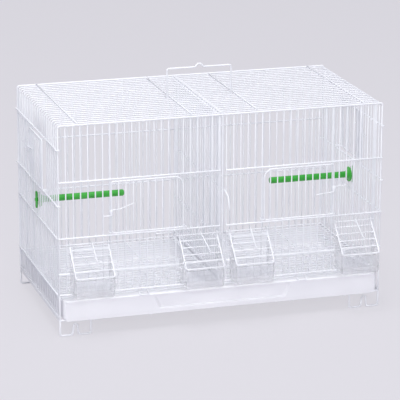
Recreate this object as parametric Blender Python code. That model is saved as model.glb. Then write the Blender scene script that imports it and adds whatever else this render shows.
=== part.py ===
"""Double breeder cage: a white wire cage with two cabins side by side.

Every named value is in millimetres. Cage coordinates run X to the right, Y back from the front
panel's plane and Z up from the floor, and the root empty centres the whole cage on its origin.
On a panel, u runs along it, v up and w outward from the plane of its upright bars.
"""

import math

import bmesh
import bpy
from mathutils import Matrix, Vector

MM = 0.001

# Driving dimensions
WIDTH = 600.0
DEPTH = 310.0
HEIGHT = 354.0
BASE_Z = 30.0
FRONT_PITCHES = 45
SIDE_PITCHES = 23
REACH_FRONT = 51.66
REACH_BACK = 5.0

# Wire sizes: thin bars pass the middle rails with a gap, stout ones are welded to them
THIN = 2.2
STOUT = 3.0
STOUT_OUT = 0.4
RAIL = 2.8
EDGE = 3.4
GAP = 0.3
RAIL_OUT = THIN / 2 + GAP + RAIL / 2
BITE = 0.3
SIDE_STOUT = 3.8
END_PAST = 0.8
POST_PAST = 1.2
SIDE_END = 2.6
HOOK_REACH = STOUT / 2 + GAP + RAIL / 2
HOOK_RUN = (1.2, 6.0)
HOOK_TAIL = 1.6

# Heights of the rails
TOP_Z = BASE_Z + HEIGHT
RAIL_B = BASE_Z + 0.714 * HEIGHT
RAIL_C = BASE_Z + 0.426 * HEIGHT
SILL = BASE_Z + 0.242 * HEIGHT
RAIL_D = BASE_Z + 0.132 * HEIGHT
RAIL_1 = BASE_Z + 0.880 * HEIGHT
RAIL_2 = BASE_Z + 0.595 * HEIGHT
BACK_RAIL = BASE_Z + 0.706 * HEIGHT
PANEL_FOOT = BASE_Z + EDGE + 0.6
LEDGE_Z = 68.4
GRATE_Z = 71.2

# Bars of the front panel, counted from the left corner post
DOOR_BARS = ((7, 17), (28, 38))
FEEDER_BARS = ((2, 6), (17, 21), (24, 28), (39, 43))
SLOT_BARS = (22, 23)
LEDGE_BARS = (20, 25)
LEDGE_PAST = 2.5
BACK_EDGE = 4.4
SIDE_DOOR_BARS = (6, 14)
SIDE_DOOR_INSET = 5.0

# Doors slide in front of the rails
DOOR_OUT = 7.9
DOOR_WIRE = 2.6
DOOR_CORNER = 16.0
LOOP_WIRE = 2.0
LOOP_HALF = 3.4
LOOP_RISE = 0.6
DOOR_NARROWER = 2.0
FRONT_DOOR_Z = (RAIL_C + 5.4, RAIL_B - 3.2)
SIDE_DOOR_Z = (RAIL_2 + 5.6, RAIL_1 - 2.9)
LATCH_SLEEVE = (2.2, 3.0, 5.5)
LATCH_OUT = 3.6

# Each latch: height above the door's foot, short arm, then the long arm's bends
LATCH_LEFT = (37.8, 15.0, ((14.5, 5.8), (40.5, 15.0)))
LATCH_RIGHT = (47.7, 24.0, ((18.0, 6.2), (34.0, 8.4)))
LATCH_SIDE = (52.4, 15.0, ((20.0, 6.0), (43.0, 8.2)))

# Feeder flaps and their cups
FLAP_HALF = 35.0
FLAP_LENGTH = 68.7
FLAP_ANGLE = math.radians(44.4)
FLAP_AXIS = (-1.9, 168.5)
HINGE_HALF = 41.0
FLAP_RING = 3.1
FLAP_WIRE = 2.4
FLAP_CORNER = 4.0
FLAP_RUNGS = (11.5, 25.5, 40.0, 54.0)
FLAP_LATCH_ANGLES = (5.0, 7.0, 5.0, 7.0)
FLAP_LATCH_LEANS = (1.5, 8.0, 0.0, 4.0)
FLAP_LATCH_LENGTH = 43.0
FLAP_LATCH_ASIDE = 5.0
CUP_HALF = 36.5
CUP_BACK = -4.6
CUP_FRONT = -50.5
CUP_BOTTOM = 82.0
CUP_RIM = 116.3
CUP_SHOULDER = (-12.1, 155.5)
CUP_WALL = 1.8
CUP_LIP_HALF = 22.0
CUP_LIP_DROP = 8.0

# Tray, grates and the wires that carry them
TRAY_HALF = 294.5
TRAY_FRONT = -6.0
TRAY_BACK = 303.0
TRAY_Z = (32.0, 67.2)
TRAY_APRON = 28.4
TRAY_WALL = 2.5
TRAY_SHELF = 8.0
TRAY_LIP = (3.0, 4.0, 0.4)
RECESS_HALF = 129.5
RECESS_SLOPE = 12.0
RECESS_DEEP = 5.0
SUPPORT_X = (-235.0, -134.0, 0.0, 134.0, 235.0)
SUPPORT_PAST = 3.0
RUNNER_HALF = 6.0
RUNNER_Y = (-1.9, 308.4)
RUNNER_Z = (67.7, 69.5)
HANGER_HALF = 1.5
HANGER_DEEP = (3.0, 2.5)
GRATE_WIRE = 2.6
GRATE_X = (3.8, 296.3)
GRATE_Y = (2.2, 302.0)
PULL_X = 148.0
PULL_HALF = 8.0
PULL_OUT = (10.0, 16.0)
STIFFENER_X = (100.0, 200.0)
STIFFENER_DROP = 2.1

# Divider
DIVIDER_Y = (1.0, 303.5)
DIVIDER_Z = (80.2, 379.7)
DIVIDER_RAILS = (150.0, 246.0)
DIVIDER_HOOK = ((-4.0, 0.0), (-13.0, -1.6), (-25.0, -8.0), (-29.5, -15.0), (-32.0, -28.0))

# Top
TOP_BEND = 6.0
TOP_SEAM = 1.1
TOP_STRIP = (3.0, 1.0)
CROSS_FIXED = 265.0
CROSS_MIDDLE = (-55.5, 66.0)
CROSS_GUIDE = 5.0
CROSS_END = 2.0
HANDLE_BAR = 11
HANDLE_HALF = 60.5
HANDLE_RISE = 54.0
HANDLE_WIRE = 3.2
HANDLE_RING = 3.6
HANDLE_CURL = 430.0
HANDLE_CORNER = 3.0
HANDLE_GRIP = ((8.0, 0.0), (3.0, 6.0))

# Perches and feet
PERCH_Z = 210.0
PERCH_RADIUS = 6.0
PERCH_LENGTH = 160.0
PERCH_STEM = 3.5
FLANGE_RADIUS = 14.0
NUT_HALF = 4.5
NUT_REACH = 16.0
NUT_THICK = 2.5
FOOT_WIRE = 3.6
FOOT_FLAT = 0.6
FOOT_LENGTH = 56.0

WHITE_COAT = ((0.86, 0.87, 0.90), 0.35, 0.0, 1.0)
WHITE_TRAY = ((0.90, 0.90, 0.91), 0.45, 0.0, 1.0)
CLEAR_CUP = ((0.93, 0.95, 0.97), 0.10, 0.0, 0.35)
GREEN_PERCH = ((0.03, 0.45, 0.05), 0.40, 0.0, 1.0)


def front_u(bar):
    return (bar / FRONT_PITCHES - 0.5) * WIDTH


def side_u(bar):
    return bar / SIDE_PITCHES * DEPTH


def on_front(u, v, w):
    return (u, -w, v)


def on_back(u, v, w):
    return (u, DEPTH + w, v)


def on_left(u, v, w):
    return (-WIDTH / 2 - w, u, v)


def on_right(u, v, w):
    """The left panel turned half round: one shape serves both ends."""
    return (WIDTH / 2 + w, DEPTH - u, v)


def on_top(u, v, w):
    return (u, v, TOP_Z + w)


def upright(face, u, v0, v1, w=0.0):
    return [face(u, v0, w), face(u, v1, w)]


def level(face, u0, u1, v, w):
    return [face(u0, v, w), face(u1, v, w)]


def arc(centre, radius, start, end, steps):
    """Points of an arc in a plane, angles in degrees."""
    angles = [math.radians(start + (end - start) * i / steps) for i in range(steps + 1)]
    return [(centre[0] + radius * math.cos(a), centre[1] + radius * math.sin(a)) for a in angles]


def clear_scene():
    for obj in list(bpy.data.objects):
        bpy.data.objects.remove(obj, do_unlink=True)


def make_material(name, look):
    colour, roughness, metallic, alpha = look
    material = bpy.data.materials.new(name)
    material.use_nodes = True
    shader = material.node_tree.nodes["Principled BSDF"]
    shader.inputs["Base Color"].default_value = (*colour, 1.0)
    shader.inputs["Roughness"].default_value = roughness
    shader.inputs["Metallic"].default_value = metallic
    shader.inputs["Alpha"].default_value = alpha
    material.diffuse_color = (*colour, alpha)
    return material


def evaluated_mesh(obj):
    """The object's mesh with its modifiers applied. The object itself is removed."""
    bpy.context.view_layer.update()
    graph = bpy.context.evaluated_depsgraph_get()
    mesh = bpy.data.meshes.new_from_object(obj.evaluated_get(graph))
    bpy.data.objects.remove(obj, do_unlink=True)
    return mesh


def temporary(name, data):
    obj = bpy.data.objects.new(name, data)
    bpy.context.scene.collection.objects.link(obj)
    return obj


def wires(paths, size, sides=4, closed=False):
    """All the paths as wires in one mesh: square with 4 sides, else round."""
    square = sides == 4
    curve = bpy.data.curves.new("wires", "CURVE")
    curve.dimensions = "3D"
    curve.bevel_depth = size * MM / (math.sqrt(2) if square else 2)
    curve.bevel_resolution = (sides - 4) // 2
    curve.use_fill_caps = True
    for path in paths:
        spline = curve.splines.new("POLY")
        spline.points.add(len(path) - 1)
        spline.use_cyclic_u = closed
        for point, place in zip(spline.points, path):
            point.co = (*(Vector(place) * MM), 1.0)
            point.tilt = math.pi / 4 if square else 0.0
    return welded(evaluated_mesh(temporary("wires", curve)))


def welded(mesh):
    """Closes a curve's loose caps and turns every face outward."""
    shape = bmesh.new()
    shape.from_mesh(mesh)
    bmesh.ops.remove_doubles(shape, verts=shape.verts, dist=1e-6)
    bmesh.ops.recalc_face_normals(shape, faces=shape.faces)
    shape.to_mesh(mesh)
    shape.free()
    return mesh


def box(low, high):
    """A box between two corners."""
    shape = bmesh.new()
    bmesh.ops.create_cube(shape, size=1.0)
    size = Vector([b - a for a, b in zip(low, high)]) * MM
    centre = Vector([(a + b) / 2 for a, b in zip(low, high)]) * MM
    bmesh.ops.scale(shape, vec=size, verts=shape.verts)
    bmesh.ops.translate(shape, vec=centre, verts=shape.verts)
    mesh = bpy.data.meshes.new("box")
    shape.to_mesh(mesh)
    shape.free()
    return mesh


def prism(outline, axis, low, high):
    """A closed outline extruded along X or Y, between two places on that axis."""
    shape = bmesh.new()
    place = (lambda a, b: (low, a, b)) if axis == "X" else (lambda a, b: (a, low, b))
    face = shape.faces.new([shape.verts.new(Vector(place(a, b)) * MM) for a, b in outline])
    made = bmesh.ops.extrude_face_region(shape, geom=[face])["geom"]
    along = Vector((high - low, 0, 0) if axis == "X" else (0, high - low, 0)) * MM
    moved = [item for item in made if isinstance(item, bmesh.types.BMVert)]
    bmesh.ops.translate(shape, vec=along, verts=moved)
    bmesh.ops.recalc_face_normals(shape, faces=shape.faces)
    mesh = bpy.data.meshes.new("prism")
    shape.to_mesh(mesh)
    shape.free()
    return mesh


def turned(profile, steps, closed=False):
    """A profile of (place along X, radius) turned round the X axis."""
    shape = bmesh.new()
    verts = [shape.verts.new((s * MM, 0.0, r * MM)) for s, r in profile]
    ends = verts[1:] + verts[:1] if closed else verts[1:]
    edges = [shape.edges.new(pair) for pair in zip(verts, ends)]
    bmesh.ops.spin(
        shape, geom=verts + edges, cent=(0, 0, 0), axis=(1, 0, 0), angle=2 * math.pi, steps=steps
    )
    mesh = bpy.data.meshes.new("turned")
    shape.to_mesh(mesh)
    shape.free()
    return welded(mesh)


def joined(*meshes):
    """Meshes that stay clear of each other, as one mesh."""
    shape = bmesh.new()
    for mesh in meshes:
        shape.from_mesh(mesh)
    together = bpy.data.meshes.new("joined")
    shape.to_mesh(together)
    shape.free()
    return together


def combined(operation, mesh, others):
    obj = temporary("body", mesh)
    helpers = [temporary("helper", other) for other in others]
    for helper in helpers:
        modifier = obj.modifiers.new(operation, "BOOLEAN")
        modifier.operation = operation
        modifier.solver = "EXACT"
        modifier.object = helper
    result = evaluated_mesh(obj)
    for helper in helpers:
        bpy.data.objects.remove(helper, do_unlink=True)
    return result


def fused(mesh, *others):
    return combined("UNION", mesh, others)


def cut(mesh, *cutters):
    return combined("DIFFERENCE", mesh, cutters)


class Cage:
    """The collection, the root empty and the materials that every sub-part shares."""

    def __init__(self):
        self.collection = bpy.data.collections.new("double_breeder_cage")
        bpy.context.scene.collection.children.link(self.collection)
        self.root = bpy.data.objects.new("cage_root", None)
        self.root.location = Vector((0, (REACH_FRONT - DEPTH - REACH_BACK) / 2, 0)) * MM
        self.collection.objects.link(self.root)
        self.coat = make_material("white_powder_coat", WHITE_COAT)
        self.tray = make_material("white_tray_plastic", WHITE_TRAY)
        self.clear = make_material("clear_plastic", CLEAR_CUP)
        self.green = make_material("green_plastic", GREEN_PERCH)

    def add(self, name, mesh, material, origin=(0.0, 0.0, 0.0), parent=None, local=False, turn=None):
        """Names a sub-part and sets its origin. A local mesh is already given about that origin."""
        if not local:
            mesh.transform(Matrix.Translation(-Vector(origin) * MM))
        mesh.name = name
        mesh.materials.clear()
        mesh.materials.append(material)
        obj = bpy.data.objects.new(name, mesh)
        self.collection.objects.link(obj)
        obj.parent = parent or self.root
        base = parent["cage_origin"] if parent else (0.0, 0.0, 0.0)
        obj.location = (Vector(origin) - Vector(base)) * MM
        if turn:
            obj.rotation_euler = turn
        obj["cage_origin"] = tuple(float(value) for value in origin)
        return obj


def front_panel(cage):
    """Upright bars between the top rail and the tray rail, left open at the doors, feeders and slot."""
    blocked = {}
    for first, last in DOOR_BARS:
        for bar in range(first + 1, last):
            blocked[bar] = (RAIL_C, RAIL_B)
    for first, last in FEEDER_BARS:
        for bar in range(first + 1, last):
            blocked[bar] = (SILL, RAIL_C)
    stout = {0, FRONT_PITCHES, *SLOT_BARS}
    for pair in (*DOOR_BARS, *FEEDER_BARS):
        stout.update(pair)
    thin_paths = []
    stout_paths = []
    for bar in range(FRONT_PITCHES + 1):
        u = front_u(bar)
        if bar in blocked:
            low, high = blocked[bar]
            stout_paths.append(upright(on_front, u, RAIL_D, low + END_PAST, STOUT_OUT))
            stout_paths.append(upright(on_front, u, high - END_PAST, TOP_Z, STOUT_OUT))
        elif bar in stout:
            stout_paths.append(upright(on_front, u, RAIL_D, TOP_Z, STOUT_OUT))
        else:
            thin_paths.append(upright(on_front, u, RAIL_D, TOP_Z))
    bars = joined(wires(thin_paths, THIN), wires(stout_paths, STOUT))
    half = WIDTH / 2 + EDGE / 2
    edges = [level(on_front, -half, half, v, STOUT_OUT) for v in (RAIL_D, TOP_Z)]
    reach = WIDTH / 2 + POST_PAST
    slot = [front_u(bar) for bar in SLOT_BARS]
    rails = []
    for v in (RAIL_B, RAIL_C, SILL):
        rails.append(level(on_front, -reach, slot[0] + END_PAST, v, RAIL_OUT))
        rails.append(level(on_front, slot[1] - END_PAST, reach, v, RAIL_OUT))
    hinges = []
    for centre in feeder_centres():
        left, right = centre - HINGE_HALF, centre + HINGE_HALF
        hinges.append(level(on_front, left, right, FLAP_AXIS[1], -FLAP_AXIS[0]))
    level_wires = joined(wires(edges, EDGE), wires(rails, RAIL), wires(hinges, THIN))
    cage.add("front_panel", fused(bars, level_wires), cage.coat)
    low = BASE_Z + EDGE / 2 + GAP
    high = RAIL_D - EDGE / 2 - GAP
    for side, name in ((-1, "left"), (1, "right")):
        post = upright(on_front, side * WIDTH / 2, low, high, STOUT_OUT)
        cage.add(f"front_corner_post_{name}", wires([post], STOUT), cage.coat)


def feeder_centres():
    return [(front_u(first) + front_u(last)) / 2 for first, last in FEEDER_BARS]


def back_panel(cage):
    """The plain panel behind, with a short ledge inside that the divider's heel rests on."""
    posts = (0, FRONT_PITCHES)
    thin_bars = [bar for bar in range(FRONT_PITCHES + 1) if bar not in (*posts, *LEDGE_BARS)]
    thin = [upright(on_back, front_u(bar), PANEL_FOOT, TOP_Z) for bar in thin_bars]
    ends = [upright(on_back, front_u(bar), PANEL_FOOT, TOP_Z, STOUT_OUT) for bar in posts]
    ledge_bars = [upright(on_back, front_u(bar), PANEL_FOOT, TOP_Z) for bar in LEDGE_BARS]
    bars = joined(wires(thin, THIN), wires(ends, STOUT), wires(ledge_bars, SIDE_STOUT))
    half = WIDTH / 2 + EDGE / 2
    edges = [level(on_back, -half, half, v, STOUT_OUT) for v in (PANEL_FOOT, TOP_Z)]
    reach = WIDTH / 2 + POST_PAST
    rails = [level(on_back, -reach, reach, v, RAIL_OUT) for v in (BACK_RAIL, RAIL_C)]
    left, right = [front_u(bar) for bar in LEDGE_BARS]
    rails.append(level(on_back, left - LEDGE_PAST, right + LEDGE_PAST, RAIL_D, -RAIL_OUT))
    cage.add("back_panel", fused(bars, wires(edges, BACK_EDGE), wires(rails, RAIL)), cage.coat)


def hooked_rail(face, v, w):
    """A side rail whose two ends turn square round the corner posts of the front and back panels."""
    past = STOUT_OUT + HOOK_REACH
    near = [(-past, -HOOK_TAIL), (-past, HOOK_REACH), (HOOK_RUN[0], HOOK_REACH), (HOOK_RUN[1], w)]
    far = [(DEPTH - u, out) for u, out in reversed(near)]
    return [face(u, v, out) for u, out in near + far]


def side_panel(cage, name, face):
    """Uprights on a foot wire, and apart from them the rails with the stout bars that carry them."""
    first, last = SIDE_DOOR_BARS
    carriers = (1, first, last, SIDE_PITCHES - 1)
    top = TOP_Z - TOP_BEND - TOP_SEAM
    thin = []
    stout = []
    short = []
    for bar in range(1, SIDE_PITCHES):
        u = side_u(bar)
        if bar in carriers:
            stout.append(upright(face, u, PANEL_FOOT + EDGE / 2 + GAP, top))
        elif first < bar < last:
            thin.append(upright(face, u, PANEL_FOOT, RAIL_2 + END_PAST))
            short.append(upright(face, u, RAIL_1 - END_PAST, top, STOUT_OUT))
        else:
            thin.append(upright(face, u, PANEL_FOOT, top))
    ends = (SIDE_END, DEPTH - SIDE_END)
    foot = [level(face, *ends, PANEL_FOOT, STOUT_OUT)]
    cage.add(f"{name}_side_panel", fused(wires(thin, THIN), wires(foot, EDGE)), cage.coat)
    rails = [level(face, *ends, RAIL_C, RAIL_OUT), level(face, *ends, RAIL_D, RAIL_OUT)]
    rails.append(level(face, *ends, LEDGE_Z, -RAIL_OUT))
    hooks = [hooked_rail(face, v, RAIL_OUT) for v in (RAIL_1, RAIL_2)]
    bars = joined(wires(stout, SIDE_STOUT), wires(short, STOUT))
    level_wires = joined(wires(rails, RAIL), wires(hooks, RAIL))
    cage.add(f"{name}_side_rails", fused(bars, level_wires), cage.coat)


def top_panel(cage):
    """Lengthwise wires bent down at both ends, with the wires that cross them."""
    half = WIDTH / 2
    bend = arc((half - TOP_BEND, TOP_Z - TOP_BEND), TOP_BEND, 0, 90, 2)
    profile = [(-x, z) for x, z in bend] + list(reversed(bend))
    thin = []
    stout = []
    for bar in range(1, SIDE_PITCHES):
        path = [(x, side_u(bar), z) for x, z in profile]
        (stout if bar in (1, SIDE_PITCHES - 1) else thin).append(path)
    y0 = side_u(1) - END_PAST
    y1 = side_u(SIDE_PITCHES - 1) + END_PAST
    ends = (CROSS_END, DEPTH - CROSS_END)
    crossing = []
    for side, middle in zip((-1, 1), CROSS_MIDDLE):
        crossing.append([on_top(side * CROSS_FIXED, y, RAIL_OUT - 2 * BITE) for y in ends])
        crossing.append([on_top(middle, y, RAIL_OUT) for y in (y0, y1)])
        crossing.append([on_top(side * CROSS_GUIDE, y, -RAIL_OUT) for y in (y0, y1)])
    strip_half, strip_rise = TOP_STRIP
    bar_top = TOP_Z + THIN / 2
    strip = box((-strip_half, y0, bar_top - BITE), (strip_half, y1, bar_top + strip_rise))
    bars = joined(wires(thin, THIN), wires(stout, SIDE_STOUT))
    cage.add("top_panel", fused(bars, joined(wires(crossing, RAIL), strip)), cage.coat)


def base(cage):
    """The bottom ring, the wires that carry the tray and the strip between the two grates."""
    x = WIDTH / 2
    ring = [(-x, 0, BASE_Z), (x, 0, BASE_Z), (x, DEPTH, BASE_Z), (-x, DEPTH, BASE_Z)]
    support_z = BASE_Z - EDGE / 2 - RAIL / 2 + 0.4
    near, far = -SUPPORT_PAST, DEPTH + SUPPORT_PAST
    supports = [[(u, near, support_z), (u, far, support_z)] for u in SUPPORT_X]
    cage.add("base_frame", fused(wires([ring], EDGE, closed=True), wires(supports, RAIL)), cage.coat)
    y0, y1 = RUNNER_Y
    low, high = RUNNER_Z
    strip = box((-RUNNER_HALF, y0, low), (RUNNER_HALF, y1, high))
    overlap = high - BITE * 3
    front_top = RAIL_D - EDGE / 2 - GAP
    back_top = RAIL_D - RAIL / 2 - GAP
    hangers = [
        box((-HANGER_HALF, y0, overlap), (HANGER_HALF, y0 + HANGER_DEEP[0], front_top)),
        box((-HANGER_HALF, y1 - HANGER_DEEP[1], overlap), (HANGER_HALF, y1, back_top)),
    ]
    cage.add("centre_runner", fused(strip, *hangers), cage.coat)


def foot_path():
    """One foot wire, from the corner inward: down, along the floor, over a notch and up again."""
    low = FOOT_WIRE / 2 - FOOT_FLAT
    top = BASE_Z - EDGE / 2 - GAP
    corner = 4.0
    notch = FOOT_LENGTH / 2
    near = [(0.0, top), (0.0, low + corner), (1.2, low + 1.2), (corner, low), (20.0, low), (23.5, low + 3.5)]
    peak = [(25.5, 17.0), (notch, 23.0)]
    half = near + peak
    return half + [(FOOT_LENGTH - x, z) for x, z in reversed(half[:-1])]


def feet(cage):
    for row, y in (("front", 0.0), ("back", DEPTH)):
        for side, name in ((-1, "left"), (1, "right")):
            path = [(side * (WIDTH / 2 - x), y, z) for x, z in foot_path()]
            floor = box((-WIDTH, y - 20, -20), (WIDTH, y + 20, 0))
            cage.add(f"foot_{row}_{name}", cut(wires([path], FOOT_WIRE, 6), floor), cage.coat)


def door(cage, name, face, guides, span, heights, rounded, latch, latch_at, latch_turn):
    """A sliding door, its two guide loops and its latch."""
    u0, u1 = span
    v0, v1 = heights
    corner = arc((0.0, 0.0), DOOR_CORNER, 90, 0, 4)
    path = [(u0, v0), (u0, v1)]
    path += [(u1 - DOOR_CORNER + x, v1 - DOOR_CORNER + z) for x, z in corner] + [(u1, v0)]
    if rounded < 0:
        path = [(u0 + u1 - u, v) for u, v in path]
    frame = wires([[face(u, v, DOOR_OUT) for u, v in path]], DOOR_WIRE, closed=True)
    bars = [upright(face, u, v0, v1 - 0.5, DOOR_OUT) for u in guides[1]]
    rings = []
    for u, edge in zip(guides[0], span):
        a = min(u - LOOP_HALF, edge)
        b = max(u + LOOP_HALF, edge)
        corners = [(a, DOOR_OUT), (b, DOOR_OUT), (b, -LOOP_HALF), (a, -LOOP_HALF)]
        rings.append([face(place, v0 + LOOP_RISE, w) for place, w in corners])
    rise, short, bends = latch
    hinge = face(latch_at, v0 + rise, DOOR_OUT)
    mesh = fused(frame, wires(bars, LOOP_WIRE), wires(rings, LOOP_WIRE, closed=True))
    obj = cage.add(name, mesh, cage.coat, origin=hinge)
    latch_name = name.replace("door", "door_latch")
    mesh = latch_mesh(short, bends)
    cage.add(latch_name, mesh, cage.coat, origin=hinge, parent=obj, local=True, turn=latch_turn)


def latch_mesh(short, bends):
    """A Z-shaped wire on a sleeve, about the door's edge wire: X along the door, -Y outward, Z up."""
    bore, outer, half = LATCH_SLEEVE
    profile = [(-half, bore), (half, bore), (half, outer), (-half, outer)]
    sleeve = turned(profile, 12, closed=True)
    sleeve.transform(Matrix.Rotation(-math.pi / 2, 4, "Y"))
    out = -LATCH_OUT
    path = [(-short, out, -5.2), (-2.6, out, -5.0), (-0.8, out, -4.0), (0.8, out, 4.0), (2.6, out, 5.6)]
    path += [(x, out, z) for x, z in bends]
    return fused(sleeve, wires([path], LOOP_WIRE, 6))


def doors(cage):
    for (first, last), side, latch in zip(DOOR_BARS, (1, -1), (LATCH_LEFT, LATCH_RIGHT)):
        name = "front_door_left" if side > 0 else "front_door_right"
        span = (front_u(first), front_u(last) - DOOR_NARROWER)
        if side < 0:
            span = (front_u(first) + DOOR_NARROWER, front_u(last))
        bars = [front_u(bar) for bar in range(first + 1, last)]
        guides = ((front_u(first), front_u(last)), bars)
        edge = span[0] if side > 0 else span[1]
        turn = (0.0, 0.0, 0.0) if side > 0 else (0.0, math.pi, 0.0)
        door(cage, name, on_front, guides, span, FRONT_DOOR_Z, side, latch, edge, turn)
    first, last = SIDE_DOOR_BARS
    bars = [side_u(bar) for bar in range(first + 1, last)]
    guides = ((side_u(first), side_u(last)), bars)
    span = (side_u(first) + SIDE_DOOR_INSET, side_u(last))
    for name, face, turn in (("left", on_left, -math.pi / 2), ("right", on_right, math.pi / 2)):
        name = f"side_door_{name}"
        door(cage, name, face, guides, span, SIDE_DOOR_Z, 1, LATCH_SIDE, span[1], (0.0, 0.0, turn))


def flap_mesh():
    """A flap hanging straight down from its hinge axis, which is its origin."""
    low = -FLAP_LENGTH
    bend = arc((FLAP_HALF - FLAP_CORNER, low + FLAP_CORNER), FLAP_CORNER, 0, -90, 3)
    right = [(FLAP_HALF, -FLAP_RING)] + bend
    frame = [(x, 0.0, z) for x, z in right] + [(-x, 0.0, z) for x, z in reversed(right)]
    rungs = [[(-FLAP_HALF, 0.0, -s), (FLAP_HALF, 0.0, -s)] for s in FLAP_RUNGS]
    circle = arc((0.0, 0.0), FLAP_RING, 0, 315, 7)
    rings = [[(x, y, z) for y, z in circle] for x in (-FLAP_HALF, FLAP_HALF)]
    frame_wire = wires([frame], FLAP_WIRE)
    return fused(frame_wire, wires(rings, THIN, closed=True), wires(rungs, LOOP_WIRE))


def flap_latch_mesh(lean):
    """A short wire looped over the hinge wire, hanging on the flap's outer side and leaning to one side."""
    radius = FLAP_RING + 0.1
    end = -FLAP_LATCH_LENGTH
    x = FLAP_LATCH_ASIDE
    loop = [(x, -y, z) for y, z in arc((0.0, 0.0), radius, 250, 0, 6)]
    tail = [(x + 0.9 * lean, -radius, end + 5.0), (x + lean, -radius - 2.5, end)]
    return wires([loop + tail], LOOP_WIRE)


def cup_mesh():
    """A hopper open at the top and toward the cage, hung by its lip on the sill rail."""
    shoulder_y, shoulder_z = CUP_SHOULDER
    side = [(CUP_BACK, CUP_BOTTOM), (CUP_BACK, shoulder_z), CUP_SHOULDER, (CUP_FRONT, CUP_RIM)]
    side.append((CUP_FRONT, CUP_BOTTOM))
    shell = prism(side, "X", -CUP_HALF, CUP_HALF)
    inner = CUP_HALF - CUP_WALL
    front = CUP_FRONT + CUP_WALL
    back = CUP_BACK - CUP_WALL
    floor = CUP_BOTTOM + CUP_WALL
    above = shoulder_z + 40.0
    behind = CUP_BACK + 15.0
    sill_top = SILL + RAIL / 2 + GAP
    lip_top = sill_top + CUP_WALL - 0.2
    hollow = [(front, floor), (front, above), (behind, above)]
    hollow += [(behind, sill_top + CUP_WALL), (back, sill_top + CUP_WALL), (back, floor)]
    cup = cut(shell, prism(hollow, "X", -inner, inner))
    root = CUP_BACK - 1.0
    inside = THIN / 2 + GAP
    lip_foot = sill_top - CUP_LIP_DROP
    lip = [(root, sill_top), (inside, sill_top), (inside, lip_foot)]
    lip += [(inside + CUP_WALL, lip_foot), (inside + CUP_WALL, lip_top), (root, lip_top)]
    return fused(cup, prism(lip, "X", -CUP_LIP_HALF, CUP_LIP_HALF))


def feeders(cage):
    flap = flap_mesh()
    cup = cup_mesh()
    for index, centre in enumerate(feeder_centres()):
        hinge = (centre, *FLAP_AXIS)
        lean = (-FLAP_ANGLE, 0.0, 0.0)
        number = index + 1
        name = f"feeder_flap_{number}"
        obj = cage.add(name, flap.copy(), cage.coat, hinge, local=True, turn=lean)
        rest = (-math.radians(FLAP_LATCH_ANGLES[index]), 0.0, 0.0)
        name = f"flap_latch_{number}"
        latch = flap_latch_mesh(FLAP_LATCH_LEANS[index])
        cage.add(name, latch, cage.coat, hinge, parent=obj, local=True, turn=rest)
        place = (centre, 0.0, 0.0)
        cage.add(f"feeder_cup_{number}", cup.copy(), cage.clear, place, local=True)


def tray(cage):
    """The tray's walls, with a recess and a lip in front. Its floor is a slab between the walls."""
    low, high = TRAY_Z
    inner = TRAY_HALF - TRAY_WALL
    floor = low + TRAY_WALL
    above = high + 10.0
    front = TRAY_FRONT + TRAY_WALL
    back = TRAY_BACK - TRAY_WALL
    shelf = TRAY_FRONT + TRAY_SHELF
    side = [(TRAY_FRONT, TRAY_APRON), (front, TRAY_APRON), (front, low), (TRAY_BACK, low)]
    side += [(TRAY_BACK, high), (TRAY_FRONT, high)]
    lip_out, lip_low, lip_high = TRAY_LIP
    lip_half = TRAY_HALF - 0.5
    lip = box(
        (-lip_half, TRAY_FRONT - lip_out, high - lip_low),
        (lip_half, front - 0.5, high - lip_high),
    )
    cavity = box((-inner, shelf, floor), (inner, back, above))
    bed = box((-inner, front, low - 1.0), (inner, back, floor + GAP))
    solid_half = RECESS_HALF + TRAY_SHELF * 2
    pockets = [
        box((-inner, front, floor), (-solid_half, shelf + 1.0, above)),
        box((solid_half, front, floor), (inner, shelf + 1.0, above)),
    ]
    foot_half = RECESS_HALF - RECESS_SLOPE
    recess_top = high - lip_low - 0.2
    recess = [(-RECESS_HALF, recess_top), (RECESS_HALF, recess_top)]
    recess += [(foot_half, low + RECESS_DEEP), (-foot_half, low + RECESS_DEEP)]
    hollow_front = prism(recess, "Y", TRAY_FRONT - 10.0, TRAY_FRONT + RECESS_DEEP)
    hollowed = cut(prism(side, "X", -TRAY_HALF, TRAY_HALF), cavity, bed, *pockets, hollow_front)
    walls = cage.add("tray", fused(hollowed, lip), cage.tray, origin=(0.0, TRAY_FRONT, low))
    slab = box((GAP - inner, front + GAP, low), (inner - GAP, back - GAP, floor))
    cage.add("tray_floor", slab, cage.tray, origin=(0.0, TRAY_FRONT, low), parent=walls)


def grate(cage, name, side):
    """One floor grate: wires from left to right in a frame, two stiffeners below and a pull tab."""
    x0, x1 = [side * x for x in GRATE_X]
    y0, y1 = GRATE_Y
    frame = [(x0, y0, GRATE_Z), (x1, y0, GRATE_Z), (x1, y1, GRATE_Z), (x0, y1, GRATE_Z)]
    high = GRATE_Z + 0.4
    rungs = []
    for k in range(1, SIDE_PITCHES - 1):
        rungs.append([(x0, side_u(k), high), (x1, side_u(k), high)])
    low = GRATE_Z - STIFFENER_DROP
    stiffeners = [[(side * x, y0 - 1.0, low), (side * x, y1 + 1.0, low)] for x in STIFFENER_X]
    near, far = PULL_OUT
    tab = [(-PULL_HALF, y0, GRATE_Z), (-PULL_HALF, -near, GRATE_Z)]
    tab.append((-PULL_HALF, -far, GRATE_Z - 1.8))
    tab += [(-x, y, z) for x, y, z in reversed(tab)]
    pull = [(side * PULL_X + x, y, z) for x, y, z in tab]
    mesh = fused(wires([frame], GRATE_WIRE, closed=True), wires(rungs, LOOP_WIRE))
    mesh = fused(mesh, wires(stiffeners, THIN), wires([pull], THIN))
    cage.add(name, mesh, cage.coat, origin=(side * PULL_X, y0, GRATE_Z))


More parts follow.
